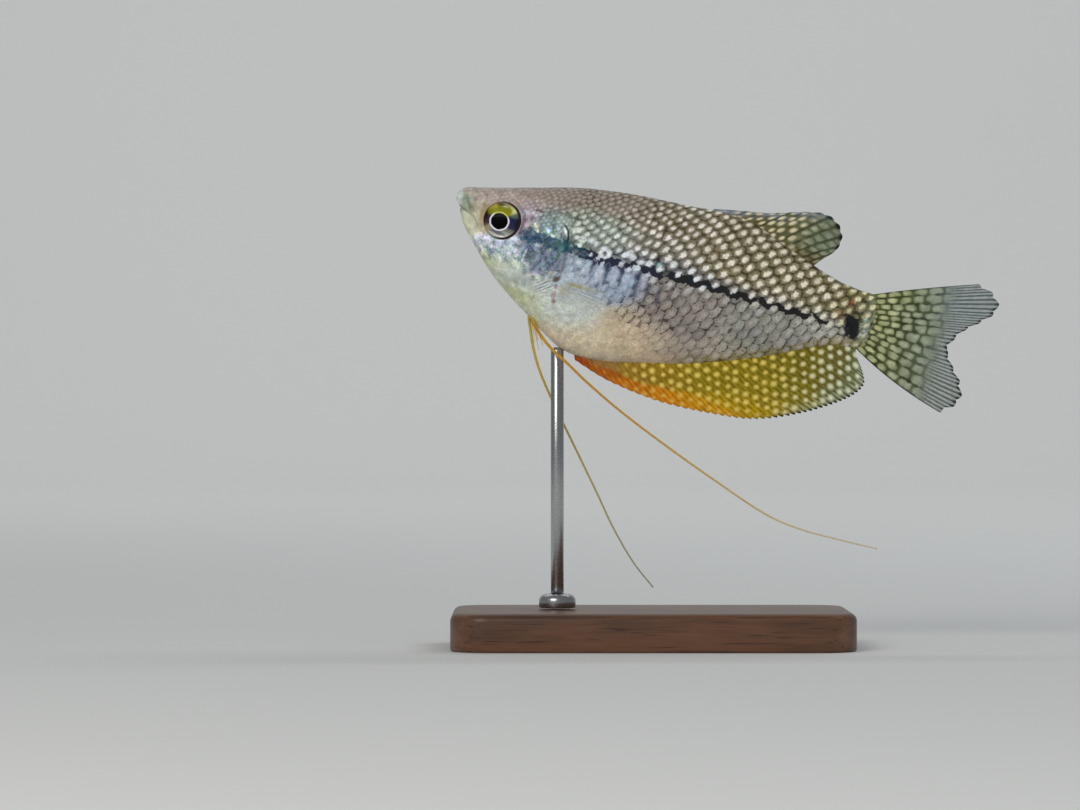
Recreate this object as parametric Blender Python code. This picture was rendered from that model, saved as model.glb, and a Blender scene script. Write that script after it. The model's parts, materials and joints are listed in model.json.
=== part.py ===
"""A pearl gourami, life size, swimming nose-up above a plain display stand.

The fish is drawn in its own level frame: x runs aft from the snout, z runs up
from the dark flank stripe, and y is sideways, with the fish's left at -y.
An empty then pitches the whole fish nose-up and sets it above the stand,
whose underside is centred on the origin. Sizes are in millimetres until MM
turns them into metres.
"""

import math

import bmesh
import bpy
from mathutils import Matrix, Vector

for old in list(bpy.data.objects):
    bpy.data.objects.remove(old, do_unlink=True)

MM = 0.001
GAP = 0.3  # kept between pieces that touch on the real animal

# Driving sizes of the fish
SNOUT_HEIGHT = 3.7  # the snout tip above the stripe
GILL_EDGE = 22.0  # the rear edge of the gill cover, aft of the snout
TAIL_CUT = 70.5  # where the trunk becomes the tail stalk
TAIL_END = 79.0  # where the tail fin grows
NOSE_UP = math.radians(16.0)

# Driving sizes of the stand
BASE_SIZE = (74.0, 44.0, 7.0)
BASE_CORNER = 7.0
ROD_RADIUS = 1.2
ROD_AFT = 25.6  # where the rod meets the belly, aft of the snout
FISH_LEAD = 36.0  # the snout tip stands this far before the middle of the base
SNOUT_LEVEL = 83.7  # the snout tip above the table

# Stations along the body: aft, back, belly, half width, level of the widest
# point, and how sharp the back and the belly are (0.5 is round, 1 is a wedge).
STATIONS = (
    (0.0, 4.2, 3.1, 0.55, 3.7, 0.50, 0.50),
    (0.4, 4.8, 2.6, 1.10, 3.7, 0.50, 0.50),
    (1.2, 5.5, 1.4, 1.60, 3.4, 0.50, 0.50),
    (2.4, 5.9, -0.9, 2.10, 2.9, 0.48, 0.52),
    (4.4, 6.4, -3.1, 2.80, 2.4, 0.46, 0.55),
    (7.0, 7.1, -5.7, 3.55, 1.8, 0.46, 0.58),
    (10.4, 8.1, -8.8, 4.30, 1.2, 0.48, 0.60),
    (14.4, 9.4, -11.6, 5.00, 0.5, 0.52, 0.60),
    (18.4, 10.6, -14.2, 5.55, -0.5, 0.56, 0.58),
    (22.4, 11.6, -16.7, 5.95, -1.5, 0.60, 0.54),
    (26.4, 12.3, -18.6, 6.15, -2.5, 0.64, 0.52),
    (30.4, 12.9, -19.1, 6.25, -3.0, 0.66, 0.54),
    (36.4, 13.4, -18.4, 6.15, -2.5, 0.68, 0.60),
    (42.4, 13.8, -16.9, 5.90, -1.5, 0.68, 0.66),
    (48.4, 14.4, -15.4, 5.45, -0.5, 0.66, 0.70),
    (54.4, 14.0, -13.4, 4.85, 0.0, 0.62, 0.72),
    (60.4, 11.8, -10.9, 4.10, 0.3, 0.60, 0.72),
    (66.4, 9.8, -8.1, 3.30, 0.5, 0.58, 0.70),
    (70.4, 8.5, -5.9, 2.75, 0.8, 0.56, 0.66),
    (74.4, 7.7, -4.3, 2.25, 1.2, 0.54, 0.60),
    (79.0, 7.4, -3.6, 1.60, 1.8, 0.52, 0.54),
)
AFT, BACK, BELLY, HALF_WIDTH, WIDEST, BACK_EDGE, BELLY_EDGE = range(7)
KEEL = 0.8  # half width of the blunt ridge along the back and the belly


def slope_at(rows, i, column):
    """The outline's slope at a station, from its neighbours."""
    before = rows[max(i - 1, 0)]
    after = rows[min(i + 1, len(rows) - 1)]
    return (after[column] - before[column]) / (after[0] - before[0])


def between(rows, aft, column):
    """A smooth curve through one column of a table whose first column is aft."""
    aft = min(max(aft, rows[0][0]), rows[-1][0])
    i = 0
    while i < len(rows) - 2 and aft > rows[i + 1][0]:
        i += 1
    low, high = rows[i], rows[i + 1]
    run = high[0] - low[0]
    t = (aft - low[0]) / run
    return (
        low[column] * (1 + 2 * t) * (1 - t) ** 2
        + high[column] * t * t * (3 - 2 * t)
        + run * slope_at(rows, i, column) * t * (1 - t) ** 2
        - run * slope_at(rows, i + 1, column) * t * t * (1 - t)
    )


def half_width(aft, height, grow=0.0):
    """Half the body's width at a point of its side view."""
    widest = between(STATIONS, aft, WIDEST)
    if height >= widest:
        reach = between(STATIONS, aft, BACK) + grow - widest
        edge = between(STATIONS, aft, BACK_EDGE)
    else:
        reach = widest - between(STATIONS, aft, BELLY) + grow
        edge = between(STATIONS, aft, BELLY_EDGE)
    u = min(abs(height - widest) / reach, 1.0)
    wide = between(STATIONS, aft, HALF_WIDTH)
    keel = min(KEEL, 0.4 * wide)
    flank = (wide - keel) * max(1 - u * u, 0.0) ** edge
    ridge = keel * math.sqrt(max(1 - u**8, 0.0))
    return flank + ridge + grow * math.sqrt(max(1 - u * u, 0.0))


def gill_bulge(station, height):
    """How far forward of its station a ring leans at a height, so that the
    ring at the gill cover follows the cover's rounded rear edge."""
    share = max(0.0, 1 - abs(station - GILL_EDGE) / 15.0)
    share = share * share * (3 - 2 * share)
    rise = height - 0.5
    bend = 0.042 if rise > 0 else 0.030
    return share * bend * rise * rise


def ring(station, points, grow=0.0):
    """The body's outline at a station as (aft, y, height), from the back down
    the right side and up the left."""
    outline = []
    for j in range(points):
        turn = 2 * math.pi * j / points
        aft = station
        height = 0.0
        for _ in range(8):
            widest = between(STATIONS, aft, WIDEST)
            if math.cos(turn) >= 0:
                reach = between(STATIONS, aft, BACK) + grow - widest
            else:
                reach = widest - between(STATIONS, aft, BELLY) + grow
            height = widest + reach * math.cos(turn)
            aft = station - gill_bulge(station, height)
        side = 0.0
        if j % (points // 2):
            side = math.copysign(half_width(aft, height, grow), math.sin(turn))
        outline.append((aft, side, height))
    return outline


def metres(point):
    return Vector(point) * MM


def finish(name, mesh_data, material, smooth=40.0):
    """Turns a bmesh into a named object with its material."""
    bmesh.ops.recalc_face_normals(mesh_data, faces=mesh_data.faces)
    mesh = bpy.data.meshes.new(name)
    mesh_data.to_mesh(mesh)
    mesh_data.free()
    mesh.shade_smooth()
    mesh.set_sharp_from_angle(angle=math.radians(smooth))
    if material is not None:
        mesh.materials.append(material)
    made = bpy.data.objects.new(name, mesh)
    bpy.context.scene.collection.objects.link(made)
    return made


def helper(piece):
    """Marks a cutter, which isn't a piece of the model."""
    piece.hide_render = True
    piece.display_type = "WIRE"
    return piece


def surface(name, colour, roughness, metallic=0.0):
    made = bpy.data.materials.new(name)
    made.use_nodes = True
    shader = made.node_tree.nodes["Principled BSDF"]
    shader.inputs["Base Color"].default_value = (*colour, 1.0)
    shader.inputs["Roughness"].default_value = roughness
    shader.inputs["Metallic"].default_value = metallic
    return made


def boolean(piece, operation, other):
    """Cuts one object by another, or keeps what they share."""
    step = piece.modifiers.new(operation.title(), "BOOLEAN")
    step.operation = operation
    step.solver = "EXACT"
    step.object = other


def fuse(piece, additions):
    """Joins closed pieces to an object in one Boolean union, and removes them."""
    group = bpy.data.collections.new(f"{piece.name}_additions")
    bpy.context.scene.collection.children.link(group)
    for addition in additions:
        bpy.context.scene.collection.objects.unlink(addition)
        group.objects.link(addition)
    step = piece.modifiers.new("Union", "BOOLEAN")
    step.operation = "UNION"
    step.solver = "EXACT"
    step.operand_type = "COLLECTION"
    step.collection = group
    settle(piece)
    for addition in additions:
        bpy.data.objects.remove(addition)
    bpy.data.collections.remove(group)


def settle(piece):
    """Applies an object's cuts, and keeps only its largest closed surface."""
    graph = bpy.context.evaluated_depsgraph_get()
    graph.update()
    mesh = bpy.data.meshes.new_from_object(piece.evaluated_get(graph))
    piece.modifiers.clear()
    work = bmesh.new()
    work.from_mesh(mesh)
    left = set(work.verts)
    islands = []
    while left:
        island, edge = set(), [left.pop()]
        while edge:
            vertex = edge.pop()
            island.add(vertex)
            for link in vertex.link_edges:
                other = link.other_vert(vertex)
                if other in left:
                    left.remove(other)
                    edge.append(other)
        islands.append(island)
    islands.sort(key=len)
    scraps = [vertex for island in islands[:-1] for vertex in island]
    bmesh.ops.delete(work, geom=scraps, context="VERTS")
    work.to_mesh(mesh)
    work.free()
    piece.data = mesh


def loft(name, rings, material):
    """A closed body through rings of equal count, with its end faces made of
    strips between the right and left sides, so that a curved end stays true."""
    work = bmesh.new()
    rows = [[work.verts.new(metres(point)) for point in one] for one in rings]
    count = len(rows[0])
    for row, following in zip(rows, rows[1:]):
        for j in range(count):
            k = (j + 1) % count
            work.faces.new((row[j], row[k], following[k], following[j]))
    for end in (rows[0], rows[-1]):
        half = count // 2
        for j in range(half):
            corners = [end[j], end[j + 1], end[(count - j - 1) % count], end[(count - j) % count]]
            unique = list(dict.fromkeys(corners))
            work.faces.new(unique)
    return finish(name, work, material)


def steps(first, last, pitch):
    """Even steps from first to last, about a pitch apart."""
    count = max(1, round((last - first) / pitch))
    return [first + (last - first) * i / count for i in range(count + 1)]


def smooth_path(points, per_span):
    """A smooth curve read through a route's own points."""
    count = len(points)
    path = []
    for i in range(count - 1):
        p0, p1 = Vector(points[max(i - 1, 0)]), Vector(points[i])
        p2, p3 = Vector(points[i + 1]), Vector(points[min(i + 2, count - 1)])
        for k in range(per_span):
            t = k / per_span
            path.append(
                0.5
                * (
                    2 * p1
                    + (p2 - p0) * t
                    + (2 * p0 - 5 * p1 + 4 * p2 - p3) * t * t
                    + (3 * p1 - p0 - 3 * p2 + p3) * t**3
                )
            )
    path.append(Vector(points[-1]))
    return path


def along(points, share):
    """The point at a share of the length of a drawn line."""
    spans = [(Vector(b) - Vector(a)).length for a, b in zip(points, points[1:])]
    goal = share * sum(spans)
    for (a, b), span in zip(zip(points, points[1:]), spans):
        if goal <= span:
            return Vector(a).lerp(Vector(b), goal / span)
        goal -= span
    return Vector(points[-1])


def tube(name, path, radii, sides, material, side=Vector((0, 1, 0))):
    """A closed tapered tube along a path that never runs along side."""
    work = bmesh.new()
    rings = []
    for i, point in enumerate(path):
        run = path[min(i + 1, len(path) - 1)] - path[max(i - 1, 0)]
        run.normalize()
        across = (side - side.dot(run) * run).normalized()
        up = run.cross(across)
        one = []
        for j in range(sides):
            turn = 2 * math.pi * j / sides
            offset = across * math.cos(turn) + up * math.sin(turn)
            one.append(work.verts.new(metres(point + offset * radii[i])))
        rings.append(one)
    for row, following in zip(rings, rings[1:]):
        for j in range(sides):
            k = (j + 1) % sides
            work.faces.new((row[j], row[k], following[k], following[j]))
    work.faces.new(rings[0])
    work.faces.new(rings[-1])
    return finish(name, work, material)


def ellipsoid(name, centre, axes, turn, material, around=20, down=10):
    """A ball squashed along its own axes and turned to face a way."""
    work = bmesh.new()
    bmesh.ops.create_uvsphere(work, u_segments=around, v_segments=down, radius=1.0)
    place = Matrix.Translation(metres(centre)) @ turn.to_matrix().to_4x4()
    place = place @ Matrix.Diagonal((*(Vector(axes) * MM), 1.0))
    bmesh.ops.transform(work, matrix=place, verts=work.verts)
    return finish(name, work, material)


def fin(name, ray_count, rows, root, tip, thickness, material, bow=None, place=None, notch=0.025):
    """A fin as one closed membrane with its rays raised as ridges in both
    faces. root(s) and tip(s) give a ray's ends in the side view, thickness(v)
    the membrane's thickness from root to tip, and bow(s) how far the ray bends
    down. place turns the flat fin into its position, where it isn't upright."""
    columns = []
    for k in range(2 * ray_count - 1):
        s = k / (2 * ray_count - 2)
        columns.append((s, k % 2 == 0))
    work = bmesh.new()
    faces = {-1: [], 1: []}
    for s, is_ray in columns:
        start, end = root(s), tip(s)
        if not is_ray:
            end = end - (end - start) * notch
        bend = Vector((end.y - start.y, start.x - end.x)) * (bow(s) if bow else 0.0)
        line = {-1: [], 1: []}
        for i in range(rows + 1):
            v = i / rows
            flat = start.lerp(end, v) + bend * 4 * v * (1 - v)
            ridge = 0.32 * (1 - 0.6 * v) if is_ray else 0.0
            half = thickness(v) / 2 + ridge / 2
            for face in (-1, 1):
                point = place(flat, face * half) if place else (flat.x, face * half, flat.y)
                line[face].append(work.verts.new(metres(point)))
        for face in (-1, 1):
            faces[face].append(line[face])
    for face in (-1, 1):
        for one, following in zip(faces[face], faces[face][1:]):
            for i in range(rows):
                work.faces.new((one[i], following[i], following[i + 1]))
                work.faces.new((one[i], following[i + 1], one[i + 1]))
    left, right = faces[-1], faces[1]
    for a, b, c, d in zip(left, left[1:], right, right[1:]):
        for i in (0, rows):
            work.faces.new((a[i], b[i], d[i]))
            work.faces.new((a[i], d[i], c[i]))
    for k in (0, -1):
        for i in range(rows):
            work.faces.new((left[k][i], left[k][i + 1], right[k][i + 1]))
            work.faces.new((left[k][i], right[k][i + 1], right[k][i]))
    return finish(name, work, material, smooth=60.0)


# Materials, one for each finish
SKIN = surface("scaled_skin", (0.36, 0.33, 0.27), 0.35)
CHEEK = surface("silver_cheek", (0.52, 0.55, 0.53), 0.30)
IRIS = surface("gold_iris", (0.45, 0.40, 0.12), 0.15)
CLEAR_FIN = surface("spotted_fin", (0.30, 0.33, 0.22), 0.40)
AMBER_FIN = surface("amber_fin", (0.62, 0.34, 0.04), 0.40)
FEELER = surface("feeler_ray", (0.72, 0.52, 0.20), 0.45)
WALNUT = surface("oiled_walnut", (0.13, 0.06, 0.03), 0.45)
STEEL = surface("ground_steel", (0.60, 0.60, 0.60), 0.30, 1.0)

pose = bpy.data.objects.new("fish_pose", None)
bpy.context.scene.collection.objects.link(pose)
pose.rotation_euler = (0, NOSE_UP, 0)


def posed(point):
    """A point of the fish's level frame, in the model's frame."""
    pitch = Matrix.Rotation(NOSE_UP, 3, "Y")
    return pitch @ (Vector(point) - Vector((0, 0, SNOUT_HEIGHT))) + Vector((-FISH_LEAD, 0, SNOUT_LEVEL))


pose.location = metres(posed((0, 0, 0)))


def on_fish(piece):
    piece.parent = pose
    return piece


# The body: head, trunk and tail stalk, with the gap of a thin cut between them
RING_POINTS = 28
head_stations = [0.0, 0.25, 0.5, 1.2, 1.9, 2.8, *steps(4.0, GILL_EDGE, 1.5)]
trunk_stations = steps(GILL_EDGE + GAP, TAIL_CUT, 2.5)
stalk_stations = steps(TAIL_CUT + GAP, TAIL_END, 2.0)
head = on_fish(loft("head", [ring(a, RING_POINTS) for a in head_stations], CHEEK))
trunk = on_fish(loft("trunk", [ring(a, RING_POINTS) for a in trunk_stations], SKIN))
stalk = on_fish(loft("tail_stalk", [ring(a, RING_POINTS) for a in stalk_stations], SKIN))
room_stations = [-GAP, *steps(1.0, TAIL_END + GAP, 2.2)]
body_room = loft("body_room", [ring(a, RING_POINTS, GAP) for a in room_stations], None)
helper(on_fish(body_room))

# Eyes: flattened balls in sockets, turned to face the way the cheek does
EYE_AFT, EYE_HEIGHT = 9.4, 1.3
EYE_RADIUS, EYE_DEPTH, EYE_SUNK = 3.55, 1.55, 0.55


def flank_point(aft, height, side):
    return Vector((aft, side * half_width(aft, height), height))


def flank_normal(aft, height, side):
    """The outward normal of the body's side at a point."""
    span = 1.5
    run = flank_point(aft + span, height, side) - flank_point(aft - span, height, side)
    rise = flank_point(aft, height + span, side) - flank_point(aft, height - span, side)
    return (run.cross(rise) * -side).normalized()


for side, word in ((-1, "left"), (1, "right")):
    facing = flank_normal(EYE_AFT, EYE_HEIGHT, side)
    turn = facing.to_track_quat("Z", "Y")
    middle = flank_point(EYE_AFT, EYE_HEIGHT, side) - facing * EYE_SUNK
    axes = (EYE_RADIUS, EYE_RADIUS, EYE_DEPTH)
    on_fish(ellipsoid(f"eye_{word}", middle, axes, turn, IRIS))
    wide = [size + GAP for size in axes]
    socket = on_fish(ellipsoid(f"socket_{word}", middle, wide, turn, None))
    boolean(head, "DIFFERENCE", helper(socket))

# Mouth: rounded lips, parted by a thin slit from the snout back to its corners
MOUTH_FRONT, MOUTH_CORNER = (0.95, 1.65), (3.9, 0.9)
SLIT = 0.35
LIP_RADIUS = 0.38
UPPER_LIP = ((3.7, 1.45), (2.6, 1.75), (1.6, 2.1), (0.9, 2.6), (0.35, 3.3))
LOWER_LIP = ((3.7, 0.4), (2.8, 0.55), (2.0, 0.75), (1.45, 1.0))


def slab(name, start, end, thick, wide):
    """A thin upright-edged slab between two points of the side view."""
    work = bmesh.new()
    run = Vector((end[0] - start[0], end[1] - start[1]))
    across = Vector((-run.y, run.x)).normalized() * thick / 2
    corners = []
    for y in (-wide, wide):
        for sign in (-1, 1):
            for x, z in (start, end):
                corners.append(work.verts.new(metres((x + sign * across.x, y, z + sign * across.y))))
    bmesh.ops.convex_hull(work, input=corners)
    return helper(on_fish(finish(name, work, None)))


def lip(name, line):
    """A thin roll round the snout, from one mouth corner to the other."""
    right = [Vector((a, half_width(a, h) - 0.12, h)) for a, h in line]
    left = [Vector((point.x, -point.y, point.z)) for point in reversed(right)]
    front = [Vector((right[-1].x + 0.1, 0, right[-1].z + 0.05))]
    path = smooth_path(right + front + left, 3)
    return tube(name, path, [LIP_RADIUS] * len(path), 8, None, side=Vector((0, 0, 1)))


fuse(head, [on_fish(lip("upper_lip", UPPER_LIP)), on_fish(lip("lower_lip", LOWER_LIP))])
ahead = Vector(MOUTH_FRONT) - (Vector(MOUTH_CORNER) - Vector(MOUTH_FRONT))
boolean(head, "DIFFERENCE", slab("mouth_slit", tuple(ahead), MOUTH_CORNER, SLIT, 6.0))

# Nostrils: two small pits on each side of the snout
NOSTRILS = ((3.6, 3.7, 0.36), (5.4, 3.3, 0.42))
for side, word in ((-1, "left"), (1, "right")):
    for k, (aft, height, radius) in enumerate(NOSTRILS):
        facing = flank_normal(aft, height, side)
        pit = ellipsoid(
            f"nostril_{word}_{k}", flank_point(aft, height, side), (radius, radius, 0.45),
            facing.to_track_quat("Z", "Y"), None, around=10, down=6,
        )
        boolean(head, "DIFFERENCE", helper(on_fish(pit)))

# Gill covers: round-fronted plates let into the sides of the head
GILL_CENTRE = (21.5, -2.2)
GILL_REACH, GILL_RISE = 7.6, 7.2
GILL_INNER, GILL_OUTER = 3.7, 9.0


def gill_cutter(name, side, grow):
    """An elliptic block that stands on the cover's outline."""
    work = bmesh.new()
    rings = []
    for depth in (GILL_INNER - grow, GILL_OUTER):
        turns = [2 * math.pi * k / 32 for k in range(32)]
        rings.append(
            [
                work.verts.new(
                    metres(
                        (
                            GILL_CENTRE[0] - (GILL_REACH + grow) * math.cos(turn),
                            side * depth,
                            GILL_CENTRE[1] + (GILL_RISE + grow) * math.sin(turn),
                        )
                    )
                )
                for turn in turns
            ]
        )
    for k in range(32):
        j = (k + 1) % 32
        work.faces.new((rings[0][k], rings[0][j], rings[1][j], rings[1][k]))
    work.faces.new(rings[0])
    work.faces.new(rings[1])
    return helper(on_fish(finish(name, work, None)))


for side, word in ((-1, "left"), (1, "right")):
    cover = on_fish(loft(f"gill_cover_{word}", [ring(a, RING_POINTS) for a in head_stations], CHEEK))
    boolean(cover, "INTERSECT", gill_cutter(f"gill_block_{word}", side, 0.0))
    boolean(head, "DIFFERENCE", gill_cutter(f"gill_recess_{word}", side, GAP))
settle(head)


# Dorsal fin: a short low fin that rises aft
def dorsal_root(s):
    line = ((48.2, 13.0), (54.5, 12.4), (60.5, 10.2), (66.3, 8.0))
    return along(line, s)


DORSAL_EDGE = smooth_path(
    [(48.9, 15.0), (56.6, 16.4), (62.4, 18.3), (66.4, 19.1), (69.2, 18.1), (70.7, 15.8), (70.3, 13.2), (68.4, 11.0)], 4
)


def dorsal_tip(s):
    return along(DORSAL_EDGE, s + 0.5 * s * (1 - s))


def fin_thickness(at_root, at_edge):
    return lambda v: at_edge + (at_root - at_edge) * (1 - v) ** 2


dorsal = fin("dorsal_fin", 15, 6, dorsal_root, dorsal_tip, fin_thickness(1.5, 0.5), CLEAR_FIN, bow=lambda s: -0.03)
on_fish(dorsal)
boolean(dorsal, "DIFFERENCE", body_room)


# Anal fin: it grows along the whole belly behind the feelers
ANAL_START, ANAL_END = 28.6, 78.3
ANAL_SUNK = 1.4  # the root lies this deep in the belly before it is trimmed


def anal_root(s):
    aft = ANAL_START + (ANAL_END - ANAL_START) * s
    return Vector((aft, between(STATIONS, aft, BELLY) + ANAL_SUNK))


ANAL_EDGE = smooth_path(
    [
        (29.4, -19.7), (36.4, -21.7), (46.4, -22.8), (56.4, -22.3), (64.6, -21.0),
        (72.8, -17.4), (79.6, -12.8), (82.0, -9.6), (81.2, -7.2), (79.5, -5.0),
    ],
    4,
)


def anal_tip(s):
    return along(ANAL_EDGE, s + 0.5 * s * (1 - s))


anal = on_fish(fin("anal_fin", 34, 6, anal_root, anal_tip, fin_thickness(1.6, 0.5), AMBER_FIN, bow=lambda s: 0.03))
boolean(anal, "DIFFERENCE", body_room)


# Tail fin: a shallow fork whose rays fan from the end of the tail stalk
def caudal_root(s):
    return Vector((TAIL_END - 0.6 + 1.0 * math.sin(math.pi * s), 6.9 - 10.0 * s))


CAUDAL_EDGE = smooth_path(
    [
        (97.4, 14.4), (101.0, 13.2), (102.1, 10.6), (99.8, 7.8), (96.9, 5.0),
        (95.2, 1.4), (96.8, -1.4), (99.3, -4.4), (99.9, -7.6), (97.0, -10.4),
    ],
    4,
)


def caudal_tip(s):
    return along(CAUDAL_EDGE, s)


caudal = fin(
    "tail_fin", 18, 8, caudal_root, caudal_tip, fin_thickness(1.8, 0.5), CLEAR_FIN, bow=lambda s: 0.045 * s - 0.01
)
on_fish(caudal)
boolean(caudal, "DIFFERENCE", body_room)

# Pectoral fins: clear fans behind the gill covers, standing off the flank
PECTORAL_AFT, PECTORAL_HEIGHT, PECTORAL_LENGTH = 22.9, -8.0, 13.0
PECTORAL_ROOT, PECTORAL_SPREAD = 3.6, math.radians(34.0)
PECTORAL_RISE, PECTORAL_ANGLE = math.radians(1.0), math.radians(15.0)
PECTORAL_SUNK = 0.9  # how far the root bends into the flank before it is trimmed


def pectoral_root(s):
    return Vector((-1.2, PECTORAL_ROOT * (0.5 - s)))


def pectoral_tip(s):
    turn = PECTORAL_RISE + PECTORAL_SPREAD * (0.5 - s)
    length = PECTORAL_LENGTH * (1 - 0.9 * (s - 0.38) ** 2)
    return Vector((length * math.cos(turn), PECTORAL_ROOT * (0.5 - s) * 0.4 + length * math.sin(turn)))


def pectoral_place(side):
    start = flank_point(PECTORAL_AFT, PECTORAL_HEIGHT, side)

    def place(flat, half):
        sunk = PECTORAL_SUNK * max(0.0, 1 - flat.x / 2.5) ** 2
        out = flat.x * math.sin(PECTORAL_ANGLE) + half - sunk
        return (start.x + flat.x * math.cos(PECTORAL_ANGLE), start.y + side * out, start.z + flat.y)

    return place


for side, word in ((-1, "left"), (1, "right")):
    made = fin(
        f"pectoral_fin_{word}", 9, 6, pectoral_root, pectoral_tip, fin_thickness(1.1, 0.5), CLEAR_FIN,
        place=pectoral_place(side),
    )
    boolean(on_fish(made), "DIFFERENCE", body_room)

# Pelvic fins: one long feeler each, with the short rays at its root
FEELER_ROUTES = {
    "left": [
        (18.0, -0.8, -12.4), (19.9, -1.3, -14.8), (22.0, -2.0, -17.0), (24.8, -2.7, -19.0), (28.2, -3.3, -20.7),
        (32.7, -3.9, -23.1), (40.3, -4.5, -26.6), (50.4, -4.9, -30.5), (60.4, -5.1, -34.0), (70.4, -5.2, -37.2),
        (77.4, -5.2, -38.2), (85.4, -5.0, -38.1), (92.4, -4.8, -37.8),
    ],
    "right": [
        (18.4, 0.8, -12.2), (19.2, 1.4, -14.8), (19.9, 1.9, -16.5), (21.5, 2.7, -19.9), (23.9, 3.5, -23.7),
        (28.2, 4.6, -28.9), (35.2, 6.0, -36.7), (40.1, 7.0, -42.2), (44.9, 8.0, -47.7), (50.2, 9.0, -52.8),
        (55.2, 9.8, -56.4),
    ],
}
FEELER_RADIUS, FEELER_TIP = 0.46, 0.18
# Where the short rays end, each from the feeler's root
SHORT_RAYS = {
    "left": ((23.0, -3.2, -18.9), (21.9, -3.0, -18.2)),
    "right": ((22.4, 1.5, -19.7), (21.3, 1.2, -18.6)),
}


def pelvic_fin(word, route):
    """The feeler, thickest at its root, fused with two short rays."""
    path = smooth_path(route, 4)
    last = len(path) - 1
    radii = [FEELER_TIP + (FEELER_RADIUS - FEELER_TIP) * (1 - i / last) for i in range(last + 1)]
    made = tube(f"pelvic_fin_{word}", path, radii, 7, FEELER)
    rays = []
    start = path[2]
    for number, end in enumerate(SHORT_RAYS[word]):
        line = [start.lerp(Vector(end), k / 4) for k in range(5)]
        thin = [0.42 - 0.05 * k for k in range(5)]
        rays.append(tube(f"short_ray_{word}_{number}", line, thin, 6, None))
    fuse(made, rays)
    boolean(on_fish(made), "DIFFERENCE", body_room)


for word, route in FEELER_ROUTES.items():
    pelvic_fin(word, route)


# Stand: a flat walnut base, a steel rod to the belly and the collar at its foot
def rounded_plate(name, size, corner, bevel, material):
    work = bmesh.new()
    long, wide, high = size
    outline = []
    for k in range(4):
        middle = Vector(((long / 2 - corner) * (1, -1, -1, 1)[k], (wide / 2 - corner) * (1, 1, -1, -1)[k]))
        for step in range(7):
            turn = math.pi / 2 * (k + step / 6)
            outline.append(middle + Vector((math.cos(turn), math.sin(turn))) * corner)
    levels = ((0.0, 0.5), (0.5, 0.0), (high - bevel, 0.0), (high - 0.3 * bevel, 0.3 * bevel), (high, bevel))
    rings = []
    for level, inset in levels:
        scale_x, scale_y = 1 - 2 * inset / long, 1 - 2 * inset / wide
        rings.append([work.verts.new(metres((p.x * scale_x, p.y * scale_y, level))) for p in outline])
    for row, following in zip(rings, rings[1:]):
        for j in range(len(row)):
            k = (j + 1) % len(row)
            work.faces.new((row[j], row[k], following[k], following[j]))
    work.faces.new(rings[0])
    work.faces.new(rings[-1])
    return finish(name, work, material)


rounded_plate("stand_base", BASE_SIZE, BASE_CORNER, 1.5, WALNUT)
rod_foot = BASE_SIZE[2] + GAP
rod_head = posed((ROD_AFT, 0, between(STATIONS, ROD_AFT, BELLY)))
rod_path = [Vector((rod_head.x, 0, rod_foot)), Vector((rod_head.x, 0, rod_head.z + 3.0))]
rod = tube("stand_rod", rod_path, [ROD_RADIUS] * 2, 20, STEEL)
boolean(rod, "DIFFERENCE", body_room)


def turned_ring(name, inner, outer, low, high, x, material):
    """A collar with a bevelled outer edge."""
    work = bmesh.new()
    profile = ((inner, low), (outer, low), (outer, high - 0.5), (outer - 0.5, high), (inner, high))
    around = 28
    rings = []
    for k in range(around):
        turn = 2 * math.pi * k / around
        rings.append([work.verts.new(metres((x + r * math.cos(turn), r * math.sin(turn), z))) for r, z in profile])
    for k in range(around):
        row, following = rings[k], rings[(k + 1) % around]
        for j in range(len(profile)):
            i = (j + 1) % len(profile)
            work.faces.new((row[j], row[i], following[i], following[j]))
    return finish(name, work, material)


turned_ring("stand_collar", ROD_RADIUS + GAP, 3.4, rod_foot, rod_foot + 2.6, rod_head.x, STEEL)
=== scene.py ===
# %% [markdown]
# # A pearl gourami, life size, on a plain stand
# A museum shows a small fish as a cast: one body skin, plates for the scales,
# glass eyes, thin fins with their rays, and a rod up to the belly. This lesson
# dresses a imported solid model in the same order. The solids fix every place
# and size, so the first step loads them and notes their box.

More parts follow.
